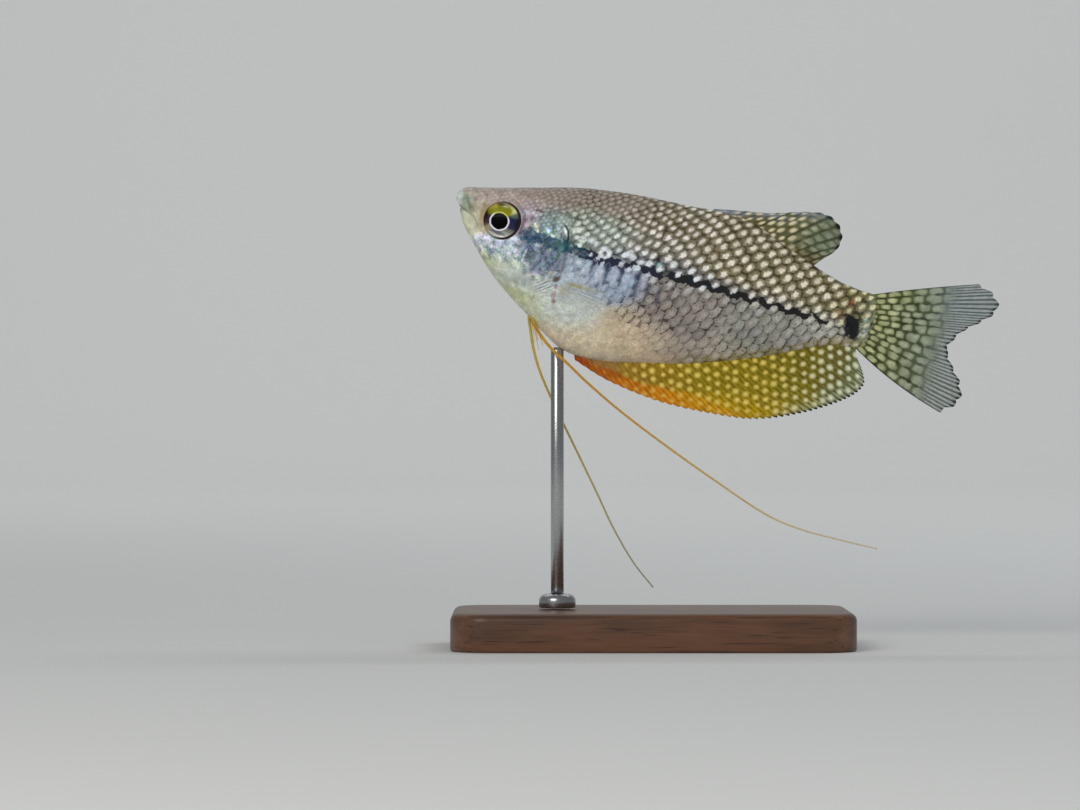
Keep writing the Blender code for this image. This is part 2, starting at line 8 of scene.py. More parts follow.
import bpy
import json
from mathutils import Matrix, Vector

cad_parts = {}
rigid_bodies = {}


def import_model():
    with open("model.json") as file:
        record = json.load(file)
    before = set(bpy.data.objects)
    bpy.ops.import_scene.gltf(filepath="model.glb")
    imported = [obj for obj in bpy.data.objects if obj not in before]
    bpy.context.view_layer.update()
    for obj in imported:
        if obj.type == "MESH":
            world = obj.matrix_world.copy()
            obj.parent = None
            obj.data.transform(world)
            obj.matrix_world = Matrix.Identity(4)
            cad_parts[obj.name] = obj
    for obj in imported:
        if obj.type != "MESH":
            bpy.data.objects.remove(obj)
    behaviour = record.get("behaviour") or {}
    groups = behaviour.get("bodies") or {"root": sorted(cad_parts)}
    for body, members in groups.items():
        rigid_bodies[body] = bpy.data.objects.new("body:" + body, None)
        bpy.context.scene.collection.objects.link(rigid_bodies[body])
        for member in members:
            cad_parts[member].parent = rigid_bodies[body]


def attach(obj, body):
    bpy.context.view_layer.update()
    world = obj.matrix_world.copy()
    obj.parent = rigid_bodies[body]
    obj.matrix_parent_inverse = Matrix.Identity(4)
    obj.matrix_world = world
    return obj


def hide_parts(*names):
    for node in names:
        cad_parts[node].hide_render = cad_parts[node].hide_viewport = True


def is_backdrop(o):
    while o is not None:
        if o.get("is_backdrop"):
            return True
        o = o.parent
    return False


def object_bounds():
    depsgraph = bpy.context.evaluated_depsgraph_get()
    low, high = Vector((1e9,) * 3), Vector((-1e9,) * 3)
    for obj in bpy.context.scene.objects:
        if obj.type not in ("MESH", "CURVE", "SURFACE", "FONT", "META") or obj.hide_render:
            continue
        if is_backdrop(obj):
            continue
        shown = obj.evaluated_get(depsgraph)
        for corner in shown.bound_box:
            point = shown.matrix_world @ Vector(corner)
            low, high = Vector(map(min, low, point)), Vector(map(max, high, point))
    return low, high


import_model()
solid_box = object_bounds()

# %% [markdown]
# ## Units, colours and small helpers
# The fish is drawn in millimetres in a level frame of its own: aft of the
# snout, across (its left side is negative) and up from the dark flank stripe.
# Arrays of numbers keep a hundred thousand points quick, so the shapes are
# worked out with numpy and handed to Blender once.

# %% Units and curves
import json
import math

import bpy
import numpy as np

MM = 0.001


def smooth(low, high, value):
    """0 before low, 1 after high, and an even S between them."""
    t = np.clip((value - low) / (high - low), 0.0, 1.0)
    return t * t * (3 - 2 * t)


def blend(first, second, share):
    return first + (second - first) * share


def linear(code):
    """An sRGB hex colour as linear light."""
    values = np.array([int(code[k : k + 2], 16) / 255 for k in (0, 2, 4)])
    return np.where(values <= 0.04045, values / 12.92, ((values + 0.055) / 1.055) ** 2.4)


def rgba(code):
    return (*linear(code), 1.0)


def lay(under, over, share):
    """Paint, given as a hex colour or as linear light, laid over another by a share at each place."""
    over = linear(over) if isinstance(over, str) else over
    return blend(under, over, share[..., None])


def full_turn(count):
    return np.linspace(0, 2 * np.pi, count, endpoint=False)


print("mid grey in linear light:", linear("808080").round(3))


# %% [markdown]
# A material is a tree of nodes. One helper adds a node, sets it and joins its
# inputs, so that each finish below reads as a list of what it is made of.

# %% Helper for materials
EASED = {"interpolation_type": "SMOOTHSTEP"}  # a MapRange with soft ends


def add(tree, kind, inputs=None, **settings):
    """Adds a node with its settings, and fills its inputs with values or links."""
    made = tree.nodes.new("ShaderNode" + kind)
    for name, value in settings.items():
        setattr(made, name, value)
    for name, value in (inputs or {}).items():
        if isinstance(value, bpy.types.NodeSocket):
            tree.links.new(value, made.inputs[name])
        else:
            made.inputs[name].default_value = value
    return made.outputs


def new_material(name, **sockets):
    """A material of one Principled shader with some of its sockets set."""
    made = bpy.data.materials.new(name)
    made.use_nodes = True
    shader = made.node_tree.nodes["Principled BSDF"]
    for socket, value in sockets.items():
        shader.inputs[socket.replace("_", " ")].default_value = value
    return made, made.node_tree, shader


print("node helper ready")


# %% [markdown]
# Meshes come in two kinds here: a grid of points that closes round the body,
# and a thin fin with two faces. Both end in one function that makes the
# object, with named values on its points for the materials to read.

# %% Helper for meshes
NOSE_UP = math.radians(16.0)
SNOUT_HEIGHT = 3.7  # the snout's tip, above the flank stripe
FISH_LEAD, SNOUT_LEVEL = 36.0, 83.7  # the snout's tip, ahead of and above the middle of the base


def placed(points):
    """Points of the fish's level frame as points of the model, in metres."""
    aft, across, up = points[..., 0], points[..., 1], points[..., 2] - SNOUT_HEIGHT
    turn_cos, turn_sin = math.cos(NOSE_UP), math.sin(NOSE_UP)
    x = aft * turn_cos + up * turn_sin - FISH_LEAD
    z = up * turn_cos - aft * turn_sin + SNOUT_LEVEL
    return np.stack([x, across, z], -1) * MM


def enclosed(points, faces):
    """The volume inside closed faces, in cubic millimetres: negative if they face inwards."""
    total = 0.0
    for group in faces:
        corner = points[group] / MM
        for k in range(1, group.shape[1] - 1):
            total += np.einsum("ij,ij->", corner[:, 0], np.cross(corner[:, k], corner[:, k + 1]))
    return total / 6


def make_piece(name, points, faces, material, values=None, maps=None):
    """A closed object from points in metres and faces; values sit on points, maps on corners."""
    points = points.reshape(-1, 3)
    volume = enclosed(points, faces)
    if volume < 0:
        faces = [group[:, ::-1] for group in faces]
        maps = {key: [corners[:, ::-1] for corners in groups] for key, groups in (maps or {}).items()}
    mesh = bpy.data.meshes.new(name)
    mesh.from_pydata(points.tolist(), [], [f for group in faces for f in group.tolist()])
    for key, value in (values or {}).items():
        value = np.asarray(value, np.float32)
        if value.ndim == 1:
            mesh.attributes.new(key, "FLOAT", "POINT").data.foreach_set("value", value)
        else:
            mesh.attributes.new(key, "FLOAT_VECTOR", "POINT").data.foreach_set("vector", value.ravel())
    for key, corners in (maps or {}).items():
        flat = np.concatenate([group.reshape(-1, 2) for group in corners])
        mesh.uv_layers.new(name=key).data.foreach_set("uv", flat.astype(np.float32).ravel())
    mesh.materials.append(material)
    mesh.shade_smooth()
    mesh.validate()
    made = bpy.data.objects.new(name, mesh)
    bpy.context.scene.collection.objects.link(made)
    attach(made, "root")
    print(f"{name}: {sum(len(f) * (f.shape[1] - 2) for f in faces)} triangles, {abs(volume):.1f} mm3")
    return made


def grid_corners(rows, columns):
    """Row and column of each corner of each quad of a grid."""
    i, j = np.meshgrid(np.arange(rows), np.arange(columns), indexing="ij")
    corner_i = np.stack([i, i + 1, i + 1, i], -1).reshape(-1, 4)
    corner_j = np.stack([j, j, j + 1, j + 1], -1).reshape(-1, 4)
    return corner_i, corner_j


print("the snout's tip, in metres:", placed(np.array([0.0, 0.0, SNOUT_HEIGHT])).round(4))


# %% [markdown]
# ## The body's shape
# The body is a loft through stations, as a boat is drawn: at each station
# aft of the snout it has a back, a belly, a half width, the level where it is
# widest, and how sharp its back and belly are. These are the solids' own
# sizes, so the skin can lie just inside them.

# %% Stations
# aft, back, belly, half width, widest level, back edge, belly edge
STATIONS = np.array(
    [
        (0.0, 4.2, 3.1, 0.55, 3.7, 0.50, 0.50), (0.4, 4.8, 2.6, 1.10, 3.7, 0.50, 0.50),
        (1.2, 5.5, 1.4, 1.60, 3.4, 0.50, 0.50), (2.4, 5.9, -0.9, 2.10, 2.9, 0.48, 0.52),
        (4.4, 6.4, -3.1, 2.80, 2.4, 0.46, 0.55), (7.0, 7.1, -5.7, 3.55, 1.8, 0.46, 0.58),
        (10.4, 8.1, -8.8, 4.30, 1.2, 0.48, 0.60), (14.4, 9.4, -11.6, 5.00, 0.5, 0.52, 0.60),
        (18.4, 10.6, -14.2, 5.55, -0.5, 0.56, 0.58), (22.4, 11.6, -16.7, 5.95, -1.5, 0.60, 0.54),
        (26.4, 12.3, -18.6, 6.15, -2.5, 0.64, 0.52), (30.4, 12.9, -19.1, 6.25, -3.0, 0.66, 0.54),
        (36.4, 13.4, -18.4, 6.15, -2.5, 0.68, 0.60), (42.4, 13.8, -16.9, 5.90, -1.5, 0.68, 0.66),
        (48.4, 14.4, -15.4, 5.45, -0.5, 0.66, 0.70), (54.4, 14.0, -13.4, 4.85, 0.0, 0.62, 0.72),
        (60.4, 11.8, -10.9, 4.10, 0.3, 0.60, 0.72), (66.4, 9.8, -8.1, 3.30, 0.5, 0.58, 0.70),
        (70.4, 8.5, -5.9, 2.75, 0.8, 0.56, 0.66), (74.4, 7.7, -4.3, 2.25, 1.2, 0.54, 0.60),
        (79.0, 7.4, -3.6, 1.60, 1.8, 0.52, 0.54),
    ]
)
KEEL = 0.8  # half width of the blunt ridge along back and belly
GILL_EDGE = 22.0
TAIL_END = 79.0
SKIN_END = 82.4  # the skin thins out over the root of the tail fin
GILL_BOW_UP, GILL_BOW_DOWN = 0.042, 0.030  # how far the gill cover's edge bows forward, per mm squared
GILL_REACH = 15.0  # how far from that edge the rings still lean with it
AFT = STATIONS[:, 0]
before, after = np.maximum(np.arange(len(AFT)) - 1, 0), np.minimum(np.arange(len(AFT)) + 1, len(AFT) - 1)
SLOPES = (STATIONS[after] - STATIONS[before]) / (AFT[after] - AFT[before])[:, None]


def profile(aft):
    """The six sizes of the body at each place, on a smooth curve through the stations."""
    aft = np.clip(aft, AFT[0], AFT[-1])
    i = np.clip(np.searchsorted(AFT, aft) - 1, 0, len(AFT) - 2)
    run = (AFT[i + 1] - AFT[i])[..., None]
    t = (aft - AFT[i])[..., None] / run
    low, high = STATIONS[i], STATIONS[i + 1]
    curve = low * (1 + 2 * t) * (1 - t) ** 2 + high * t * t * (3 - 2 * t)
    curve = curve + run * (SLOPES[i] * t * (1 - t) ** 2 - SLOPES[i + 1] * t * t * (1 - t))
    return np.moveaxis(curve[..., 1:], -1, 0)


def half_width(aft, level, grow=0.0):
    """Half the body's width at a point of its side view."""
    back, belly, wide, widest, back_edge, belly_edge = profile(aft)
    above = level >= widest
    reach = np.where(above, back - widest, widest - belly) + grow
    edge = np.where(above, back_edge, belly_edge)
    u = np.clip(np.abs(level - widest) / reach, 0.0, 1.0)
    keel = np.minimum(KEEL, 0.4 * wide)
    thin = 1 - 0.72 * smooth(TAIL_END - 0.5, SKIN_END, aft)
    flat = (wide - keel) * (1 - u * u) ** edge + keel * np.sqrt(1 - u**8)
    return flat * thin + grow * np.sqrt(1 - u * u)


def gill_bulge(station, level):
    """How far forward of its station a ring leans, to follow the gill cover's edge."""
    share = np.clip(1 - np.abs(station - GILL_EDGE) / GILL_REACH, 0.0, 1.0)
    share = share * share * (3 - 2 * share)
    rise = level - 0.5
    return share * np.where(rise > 0, GILL_BOW_UP, GILL_BOW_DOWN) * rise * rise


def station_of(aft, level):
    """The station whose ring passes through a place of the side view."""
    station = np.array(aft, float)
    for _ in range(12):
        station = aft + gill_bulge(station, level)
    return station


deepest = max(STATIONS[:, 1] - STATIONS[:, 2])
print(f"body: {AFT[-1]:.0f} mm from snout to tail root, deepest {deepest:.1f} mm")


# %% [markdown]
# ## Painting the fish
# The colours of a fish lie in its skin: brown pigment on the back, silver
# crystals on the flank, a pearl in the middle of each scale. One could load a
# picture, but a cast is painted by hand, and here too an airbrush lays
# broad colours that fade into each other, and small dabs go over them. The
# same paint is asked for by the skin and by every scale, so both match.

# %% The airbrush
def spray(zones, aft, level):
    """Blends broad zones. Each is a colour or an amount, its middle, and its reach along and up."""
    total, mixed = 0.0, 0.0
    for paint_here, middle_aft, middle_up, reach_aft, reach_up in zones:
        far = ((aft - middle_aft) / reach_aft) ** 2 + ((level - middle_up) / reach_up) ** 2
        weight = np.exp(-far) + 1e-3 / (1 + far) ** 2
        value = linear(paint_here) if isinstance(paint_here, str) else np.array([paint_here])
        total = total + weight[..., None]
        mixed = mixed + weight[..., None] * value
    return mixed / total


def ripple(aft, level, size, phase=0.0):
    """A soft, irregular wave between -1 and 1, about size millimetres across."""
    a, b = aft * 3.0 / size + phase, level * 3.0 / size - 2 * phase
    one = np.sin(a + 1.7 * np.sin(0.6 * b + phase)) * np.cos(b + 1.3 * np.sin(0.7 * a))
    two = np.sin(1.9 * b - 0.8 * a + 2.1 + phase) * np.sin(1.3 * a + 0.5 * b)
    return 0.6 * one + 0.4 * two


def near(aft, level, line):
    """Distance in the side view from each place to a line drawn through a few points."""
    best = np.full(np.shape(aft), 99.0)
    for (x0, z0), (x1, z1) in zip(line, line[1:]):
        run_x, run_z = x1 - x0, z1 - z0
        share = ((aft - x0) * run_x + (level - z0) * run_z) / (run_x**2 + run_z**2)
        share = np.clip(share, 0.0, 1.0)
        best = np.minimum(best, np.hypot(aft - x0 - share * run_x, level - z0 - share * run_z))
    return best


STAGGER = 0.866  # how far apart the columns of a staggered pattern are, in row pitches


def dots(aft, level, size, lean, radius, seed):
    """Round dots in staggered rows, each a little off its place."""
    column = (aft - lean * level) / (size * STAGGER)
    best = np.zeros(np.shape(aft))
    for shift in (0, 1):
        k = np.floor(column) + shift
        row = level / size + 0.5 * (k % 2)
        m = np.round(row)
        one = np.sin(k * 12.9898 + m * 78.233 + seed) * 43758.5453
        two = np.sin(k * 39.346 + m * 11.135 + seed) * 24634.6345
        one, two = one - np.floor(one), two - np.floor(two)
        far = np.hypot((column - k) * STAGGER + 0.22 * (one - 0.5), row - m + 0.22 * (two - 0.5)) * size
        best = np.maximum(best, smooth(1.4, 0.45, far / (radius * (0.82 + 0.36 * one))))
    return best


print("a dot and the gap beside it:", dots(np.array([0.0, 0.5]), np.zeros(2), 1.0, 0.0, 0.3, 0.0).round(2))


# %% Broad colours
# Each zone is a colour, its middle (aft, level) and its reach along and up.
# The field is a scale's own colour, the net is the dark line round each scale.
FIELD = (
    ("a1958c", 2.5, 5.2, 2.6, 0.9), ("c3cac2", 0.4, 3.3, 0.7, 1.5),
    ("8f9684", 1.9, 3.2, 0.8, 1.7), ("a1948b", 9.0, 6.8, 5.5, 1.6),
    ("96887e", 17.0, 8.6, 4.0, 2.4), ("a8a08a", 5.0, 1.0, 1.3, 1.8),
    ("c6c6aa", 3.4, -0.9, 1.8, 1.6), ("b4ba92", 8.0, -6.3, 4.0, 1.3),
    ("bac3cc", 9.2, -3.9, 3.0, 1.5), ("a0969f", 14.2, 3.4, 1.4, 1.8),
    ("bcc4ba", 12.8, -6.6, 2.8, 1.7), ("80918f", 18.2, 3.4, 2.6, 1.9),
    ("6f7b8c", 17.8, -4.2, 2.4, 2.2), ("aab3ab", 17.0, -8.2, 3.2, 1.8),
    ("b7bb92", 14.0, -11.0, 4.5, 1.1), ("bcc1a4", 19.0, -13.4, 3.0, 1.6),
    ("968a7e", 26.0, 10.8, 7.0, 2.6), ("82785e", 41.0, 9.8, 7.0, 3.4),
    ("7c7350", 60.0, 6.8, 10.0, 4.4), ("776d42", 74.0, 5.8, 4.5, 2.6),
    ("98a093", 26.5, 4.2, 5.0, 2.6), ("7d776b", 39.0, 3.6, 5.0, 2.4),
    ("9ba6b8", 30.5, -3.8, 4.6, 2.4), ("b3bfc6", 25.0, -6.6, 2.4, 2.0),
    ("c7cfc9", 25.0, -11.4, 4.0, 2.4), ("d6c8ab", 30.0, -16.2, 6.0, 2.4),
    ("c8b598", 38.5, -13.2, 5.0, 3.0), ("8c827a", 46.0, -6.2, 5.5, 4.0),
    ("8f8d83", 60.0, -4.6, 8.0, 4.0), ("a59a8a", 54.0, -11.4, 7.0, 2.2),
    ("a5a297", 72.0, -2.8, 4.0, 1.8), ("63676e", 36.0, 1.4, 9.0, 0.6),
    ("6a6558", 56.0, 1.1, 12.0, 0.5), ("8d9072", 80.0, 2.0, 2.0, 5.0),
)
NET = (
    ("7d7168", 6.0, 5.5, 6.0, 3.0), ("8a8f86", 9.0, -5.0, 6.0, 3.0),
    ("4d5b66", 18.0, -1.0, 3.0, 4.0), ("9ba38c", 16.0, -11.0, 4.0, 2.4),
    ("544a41", 26.0, 10.8, 8.0, 3.0), ("4b432f", 44.0, 8.6, 8.0, 4.0),
    ("3d3516", 64.0, 6.4, 9.0, 4.5), ("525a48", 26.0, 4.0, 5.0, 2.6),
    ("2f3b5c", 30.5, -3.4, 5.0, 2.6), ("7f8a84", 25.0, -11.2, 4.0, 2.6),
    ("937e62", 31.0, -16.2, 6.0, 2.6), ("443a36", 46.0, -6.4, 6.0, 4.4),
    ("423f38", 60.0, -5.4, 8.0, 5.0), ("3f3c28", 76.0, 1.0, 4.0, 5.0),
    ("161c30", 36.0, 1.3, 10.0, 0.9), ("1c1b18", 58.0, 1.0, 14.0, 0.8),
    ("232634", 36.0, -1.8, 12.0, 0.8), ("2a2926", 58.0, -1.5, 14.0, 0.7),
)
PEARL = (
    ("c2b8ab", 24.0, 10.4, 8.0, 2.8), ("e4efe6", 26.0, 3.4, 5.0, 2.8),
    ("efe9df", 41.0, 6.4, 7.0, 4.0), ("f0e8d0", 60.0, 6.4, 10.0, 4.5),
    ("eef3fc", 40.0, 0.8, 12.0, 1.6), ("e8e0b4", 77.5, 5.0, 3.0, 3.5),
    ("c4c2bb", 56.0, -6.0, 12.0, 4.0), ("c6d3e4", 30.0, -3.6, 5.0, 2.4),
    ("dccfb2", 32.0, -15.0, 7.0, 3.0), ("c3d2d6", 18.0, 0.0, 3.0, 4.0),
)
# How strongly the pearl shows, laid in the same way
GLEAM = (
    (0.30, 20.0, 9.5, 7.0, 2.8), (0.55, 34.0, 11.2, 6.0, 2.0), (0.85, 26.0, 3.6, 5.0, 2.4),
    (1.00, 46.0, 6.0, 12.0, 5.0), (1.00, 66.0, 5.0, 12.0, 4.5), (0.12, 56.0, -6.0, 18.0, 4.2),
    (0.40, 30.0, -3.6, 5.0, 2.2), (0.05, 30.0, -14.0, 9.0, 4.0), (0.40, 18.0, 0.0, 3.0, 4.0),
)
# How dark the line round each scale is drawn
LINES = (
    (0.38, 17.0, 9.0, 4.0, 2.8), (0.70, 28.0, 10.5, 6.0, 2.4), (0.80, 26.0, 3.6, 5.0, 2.4),
    (1.00, 46.0, 7.0, 12.0, 4.0), (1.00, 66.0, 5.0, 12.0, 4.5), (1.05, 56.0, -6.0, 16.0, 4.2),
    (0.30, 30.0, -3.6, 5.0, 2.2), (0.06, 24.0, -11.0, 6.0, 3.0), (0.03, 33.0, -15.5, 7.0, 3.4),
    (0.45, 52.0, -13.0, 8.0, 2.0),
)
print(len(FIELD) + len(NET) + len(PEARL), "airbrushed zones")

# %% [markdown]
# A dark band runs along the flank from the eye to the tail. It is teal on the
# gill cover, navy under the shoulder and black behind, and its edges step up
# and down with the scales, so a zig-zag as long as two scales is added to it.
# Then come the dabs: the plum marks behind the eye, the white streak on the
# cheek, which is a painted highlight along the edge of its bone, the red root
# of the side fin, and the black spot on the tail root.

# %% Stripe, spot and dabs
STRIPE = np.array(
    [  # aft, level of its middle, half its height
        (12.6, -0.3, 0.60), (15.0, -0.2, 0.80), (17.0, 0.0, 0.80), (20.0, -0.2, 0.80), (24.0, -0.4, 0.95),
        (28.0, -0.6, 0.78), (33.0, -0.5, 0.72), (38.0, -0.1, 0.74), (45.0, 0.1, 0.76), (52.0, 0.0, 0.66),
        (60.0, 0.0, 0.60), (67.0, -0.1, 0.54), (74.0, -0.2, 0.36),
    ]
)
STRIPE_COLOUR = (
    ("33566e", 14.5, 0, 2.0, 9), ("24465f", 18.0, 0, 2.0, 9), ("1f5560", 21.5, 0, 2.0, 9),
    ("15404c", 24.0, 0, 1.6, 9), ("161b38", 28.5, 0, 3.0, 9), ("181f33", 36.0, 0, 4.0, 9),
    ("121419", 46.0, 0, 6.0, 9), ("12110f", 62.0, 0, 9.0, 9),
)
SCALE_STEP = 1.74  # from one column of scales to the next
SPOT = (76.7, 0.3, 1.75)  # the black spot: aft, level, radius
print(f"the stripe is {2 * STRIPE[:, 2].min():.1f} to {2 * STRIPE[:, 2].max():.1f} mm high")

# %% Dabs and strokes
DABS = (  # colour, aft, level, half length, half height, lean aft of its top, strength
    # snout and lips
    ("bfc6bd", 0.5, 3.6, 0.45, 1.5, -0.45, 0.5), ("7d8874", 1.55, 3.7, 0.24, 1.3, -0.45, 0.6),
    ("6a7560", 2.4, 3.1, 0.34, 1.3, -0.45, 0.7), ("676d58", 3.3, 1.9, 0.6, 0.7, -0.3, 0.6),
    ("d8d8bc", 1.9, 0.6, 0.5, 0.6, 0.5, 0.5), ("cbb9a8", 4.9, 3.8, 0.35, 0.35, 0.0, 0.6),
    ("c2b5aa", 3.3, 4.7, 0.3, 0.3, 0.0, 0.5),
    # round the eye
    ("b0935c", 5.9, 1.7, 0.7, 1.9, 0.0, 0.6), ("c0b08a", 6.6, -1.7, 1.0, 0.5, -0.6, 0.5),
    ("8a5f52", 13.35, 1.6, 0.34, 2.0, 0.0, 0.5), ("8a5565", 13.1, 4.7, 0.6, 0.4, 0.0, 0.5),
    ("7a4a5c", 14.6, 3.2, 0.32, 0.6, 0.0, 0.6), ("6e3c48", 15.8, 4.9, 0.95, 0.28, 0.3, 0.75),
    ("7b4f5c", 17.6, 5.2, 0.5, 0.25, 0.0, 0.4), ("5c4a50", 18.8, 10.4, 0.5, 0.35, 0.0, 0.6),
    # gill cover, above the stripe
    ("8a978d", 18.0, 4.0, 2.4, 0.7, 0.0, 0.5), ("e0eccf", 15.9, 1.6, 0.42, 0.75, -0.6, 0.95),
    ("a9c6e6", 18.2, 1.9, 0.55, 0.5, 0.0, 0.8), ("e8f2fa", 19.2, 1.1, 0.42, 0.35, 0.0, 0.9),
    ("9fb0c4", 20.0, 2.5, 0.6, 0.4, 0.0, 0.6), ("4a5a72", 18.9, 2.9, 0.5, 0.28, 0.0, 0.5),
    ("f0e4ee", 21.35, 2.3, 0.2, 0.75, -0.55, 0.85), ("5d4a5c", 20.6, 1.9, 0.4, 0.35, 0.0, 0.6),
    # the stripe's own patches
    ("375a70", 14.9, 0.2, 1.1, 0.55, 0.0, 0.8), ("1f4a5a", 14.0, -0.1, 0.5, 0.4, 0.0, 0.7),
    ("0e4f68", 17.6, 0.6, 0.5, 0.7, 0.0, 0.85), ("16323f", 18.3, -0.6, 0.6, 0.4, 0.0, 0.85),
    ("164a4c", 20.2, -0.3, 1.1, 0.65, 0.0, 0.85), ("2a6a60", 21.3, -0.6, 0.45, 0.6, 0.0, 0.7),
    ("10404a", 23.0, 0.3, 0.5, 0.6, 0.0, 0.85), ("0f2c48", 24.1, -0.7, 0.8, 0.5, 0.0, 0.9),
    ("143052", 25.6, -0.5, 0.8, 0.45, 0.0, 0.85),
    # gill cover, below the stripe
    ("2e4450", 16.3, -0.9, 0.5, 0.28, 0.0, 0.8), ("c8dcd0", 17.1, -1.3, 0.7, 0.35, 0.0, 0.7),
    ("b9cdb2", 19.2, -1.6, 0.6, 0.3, 0.0, 0.6), ("6fa088", 21.3, -1.8, 0.5, 0.42, 0.0, 0.55),
    ("aab4ba", 17.4, -2.3, 0.7, 0.3, 0.0, 0.5), ("5b6572", 16.6, -3.8, 0.75, 1.3, 0.0, 0.65),
    ("6c7484", 18.6, -3.2, 0.8, 0.8, 0.0, 0.5), ("4c5763", 17.6, -4.7, 0.5, 0.45, 0.0, 0.6),
    ("7d809b", 18.3, -5.7, 0.9, 0.5, 0.0, 0.6), ("4a4f4a", 20.4, -4.1, 0.6, 0.28, 0.0, 0.5),
    ("2c3432", 21.7, -4.8, 0.35, 0.24, 0.0, 0.9), ("c5c9a8", 20.3, -5.6, 0.6, 0.45, 0.0, 0.5),
    # the near-white dfe6e6 dab is a painted highlight along the edge of the cheek bone
    ("3a4442", 17.7, -7.1, 0.35, 0.2, 0.0, 0.7), ("dfe6e6", 15.12, -3.8, 0.2, 1.3, 0.1, 0.9),
    # root of the side fin
    ("51302a", 22.0, -6.4, 0.6, 0.55, 0.3, 0.9), ("7c4a50", 22.3, -7.7, 0.35, 0.5, 0.0, 0.6),
    ("8e6468", 22.3, -9.3, 0.5, 0.8, 0.0, 0.6), ("74403c", 22.6, -10.4, 0.4, 0.4, 0.0, 0.7),
    ("aba27c", 23.6, -8.0, 0.8, 0.9, 0.0, 0.5), ("ece6ea", 20.9, -7.6, 0.3, 0.2, 0.8, 0.8),
    ("ece6ea", 20.6, -8.9, 0.35, 0.2, 0.8, 0.8),
    # shoulder
    ("f2f7ea", 23.2, 3.4, 0.9, 0.6, 0.4, 0.85), ("eef5ee", 24.6, 1.9, 0.8, 0.6, 0.0, 0.8),
    ("f0f6f4", 24.3, 0.7, 0.5, 0.35, 0.0, 0.8), ("e6eef0", 26.6, 2.2, 0.9, 0.6, 0.0, 0.6),
    ("eef2f6", 29.3, 0.6, 1.25, 1.15, 0.0, 0.85), ("1d2350", 29.3, 0.5, 0.42, 0.5, 0.0, 0.9),
    ("f3f4f8", 33.8, 1.7, 0.8, 0.8, 0.0, 0.85), ("dfeef4", 35.6, -0.4, 0.75, 0.65, 0.0, 0.9),
    ("e8f0f4", 37.5, 1.0, 0.7, 0.6, 0.0, 0.8), ("9fd0d0", 39.5, 1.3, 0.45, 0.75, 0.0, 0.7),
    ("16403c", 40.9, 0.3, 0.9, 0.8, 0.0, 0.6), ("eaf3f2", 42.0, 2.2, 0.7, 0.6, 0.0, 0.7),
    # dark gaps between the blue columns
    ("2b3a58", 27.7, -2.2, 0.34, 1.5, 0.0, 0.7), ("222f50", 30.5, -3.2, 0.36, 2.8, 0.0, 0.75),
    ("243152", 33.2, -2.6, 0.36, 2.3, 0.0, 0.75), ("2c3658", 36.2, -3.6, 0.42, 3.0, 0.1, 0.8),
    ("1c2644", 27.8, -1.5, 0.6, 0.5, 0.0, 0.8), ("1a2340", 30.5, -1.7, 0.7, 0.8, 0.0, 0.85),
    ("1a2340", 33.2, -1.5, 0.65, 0.7, 0.0, 0.85), ("222c4c", 36.2, -1.6, 0.6, 1.0, 0.0, 0.8),
    ("28304a", 30.9, -4.4, 0.5, 0.4, 0.0, 0.6), ("303a56", 36.6, -5.2, 0.55, 0.5, 0.0, 0.6),
    ("2c3652", 33.0, -3.6, 0.5, 0.35, 0.0, 0.6), ("4a465c", 38.6, -4.2, 0.34, 1.8, 0.1, 0.6),
    ("40394e", 40.8, -4.2, 0.42, 2.0, -0.1, 0.75), ("4a4044", 42.9, -3.0, 0.36, 1.6, 0.0, 0.65),
    ("ccd4e0", 29.2, -3.2, 0.7, 1.7, 0.0, 0.6), ("c6d2e2", 31.9, -3.0, 0.7, 1.6, 0.0, 0.6),
    ("b4c0d6", 34.8, -3.2, 0.8, 1.6, 0.0, 0.6), ("c8ccd8", 37.5, -2.2, 0.6, 1.0, 0.0, 0.5),
    ("d6dee0", 26.6, -3.2, 0.7, 1.0, 0.0, 0.5), ("4a5a66", 25.6, -3.6, 0.5, 0.4, 0.0, 0.6),
    ("3c4a58", 26.9, -4.6, 0.3, 0.3, 0.0, 0.6), ("dfe6ea", 25.0, -2.2, 0.6, 0.4, 0.0, 0.6),
    ("4e5a6a", 29.4, -5.6, 0.3, 0.4, 0.0, 0.6), ("566070", 32.4, -6.4, 0.3, 0.5, 0.0, 0.6),
    ("4a5264", 34.6, -6.6, 0.3, 0.4, 0.0, 0.6),
    # tail root
    ("a4563e", 75.6, 4.5, 0.7, 0.6, 0.0, 0.5), ("96543c", 74.2, 2.2, 0.5, 0.5, 0.0, 0.35),
    ("8a6a3c", 48.4, 9.2, 0.7, 0.3, 0.4, 0.4), ("8b9a90", 79.3, 0.8, 0.8, 1.9, -0.1, 0.5),
    ("c2dcd6", 79.0, 2.2, 0.24, 0.3, 0.0, 0.8), ("b4ccc8", 79.6, 1.3, 0.2, 0.24, 0.0, 0.8),
    ("d2e6dc", 78.9, 0.9, 0.2, 0.2, 0.0, 0.8), ("b0c8cc", 79.3, 0.1, 0.22, 0.24, 0.0, 0.8),
    ("c0d6da", 78.8, -0.7, 0.24, 0.24, 0.0, 0.8), ("2a3a3a", 79.3, 1.75, 0.25, 0.18, 0.0, 0.8),
    ("23302e", 79.2, -0.25, 0.25, 0.15, 0.0, 0.8),
)
STROKES = (  # colour, half width, strength, then the places a brush passes
    ("1b1e22", 0.17, 0.90, ((20.7, 3.7), (21.6, 2.8), (22.0, 1.5), (22.2, -1.0))),
    ("4b3f44", 0.22, 0.55, ((22.2, -1.0), (22.45, -3.0), (22.5, -6.0))),
    ("979d78", 0.30, 0.40, ((11.4, -8.3), (13.2, -8.9), (15.4, -9.0))),
    ("69705c", 0.16, 0.45, ((1.1, 1.9), (2.4, 1.3), (4.2, 0.6), (5.2, -0.6))),
)
print(len(DABS), "dabs and", len(STROKES), "strokes")


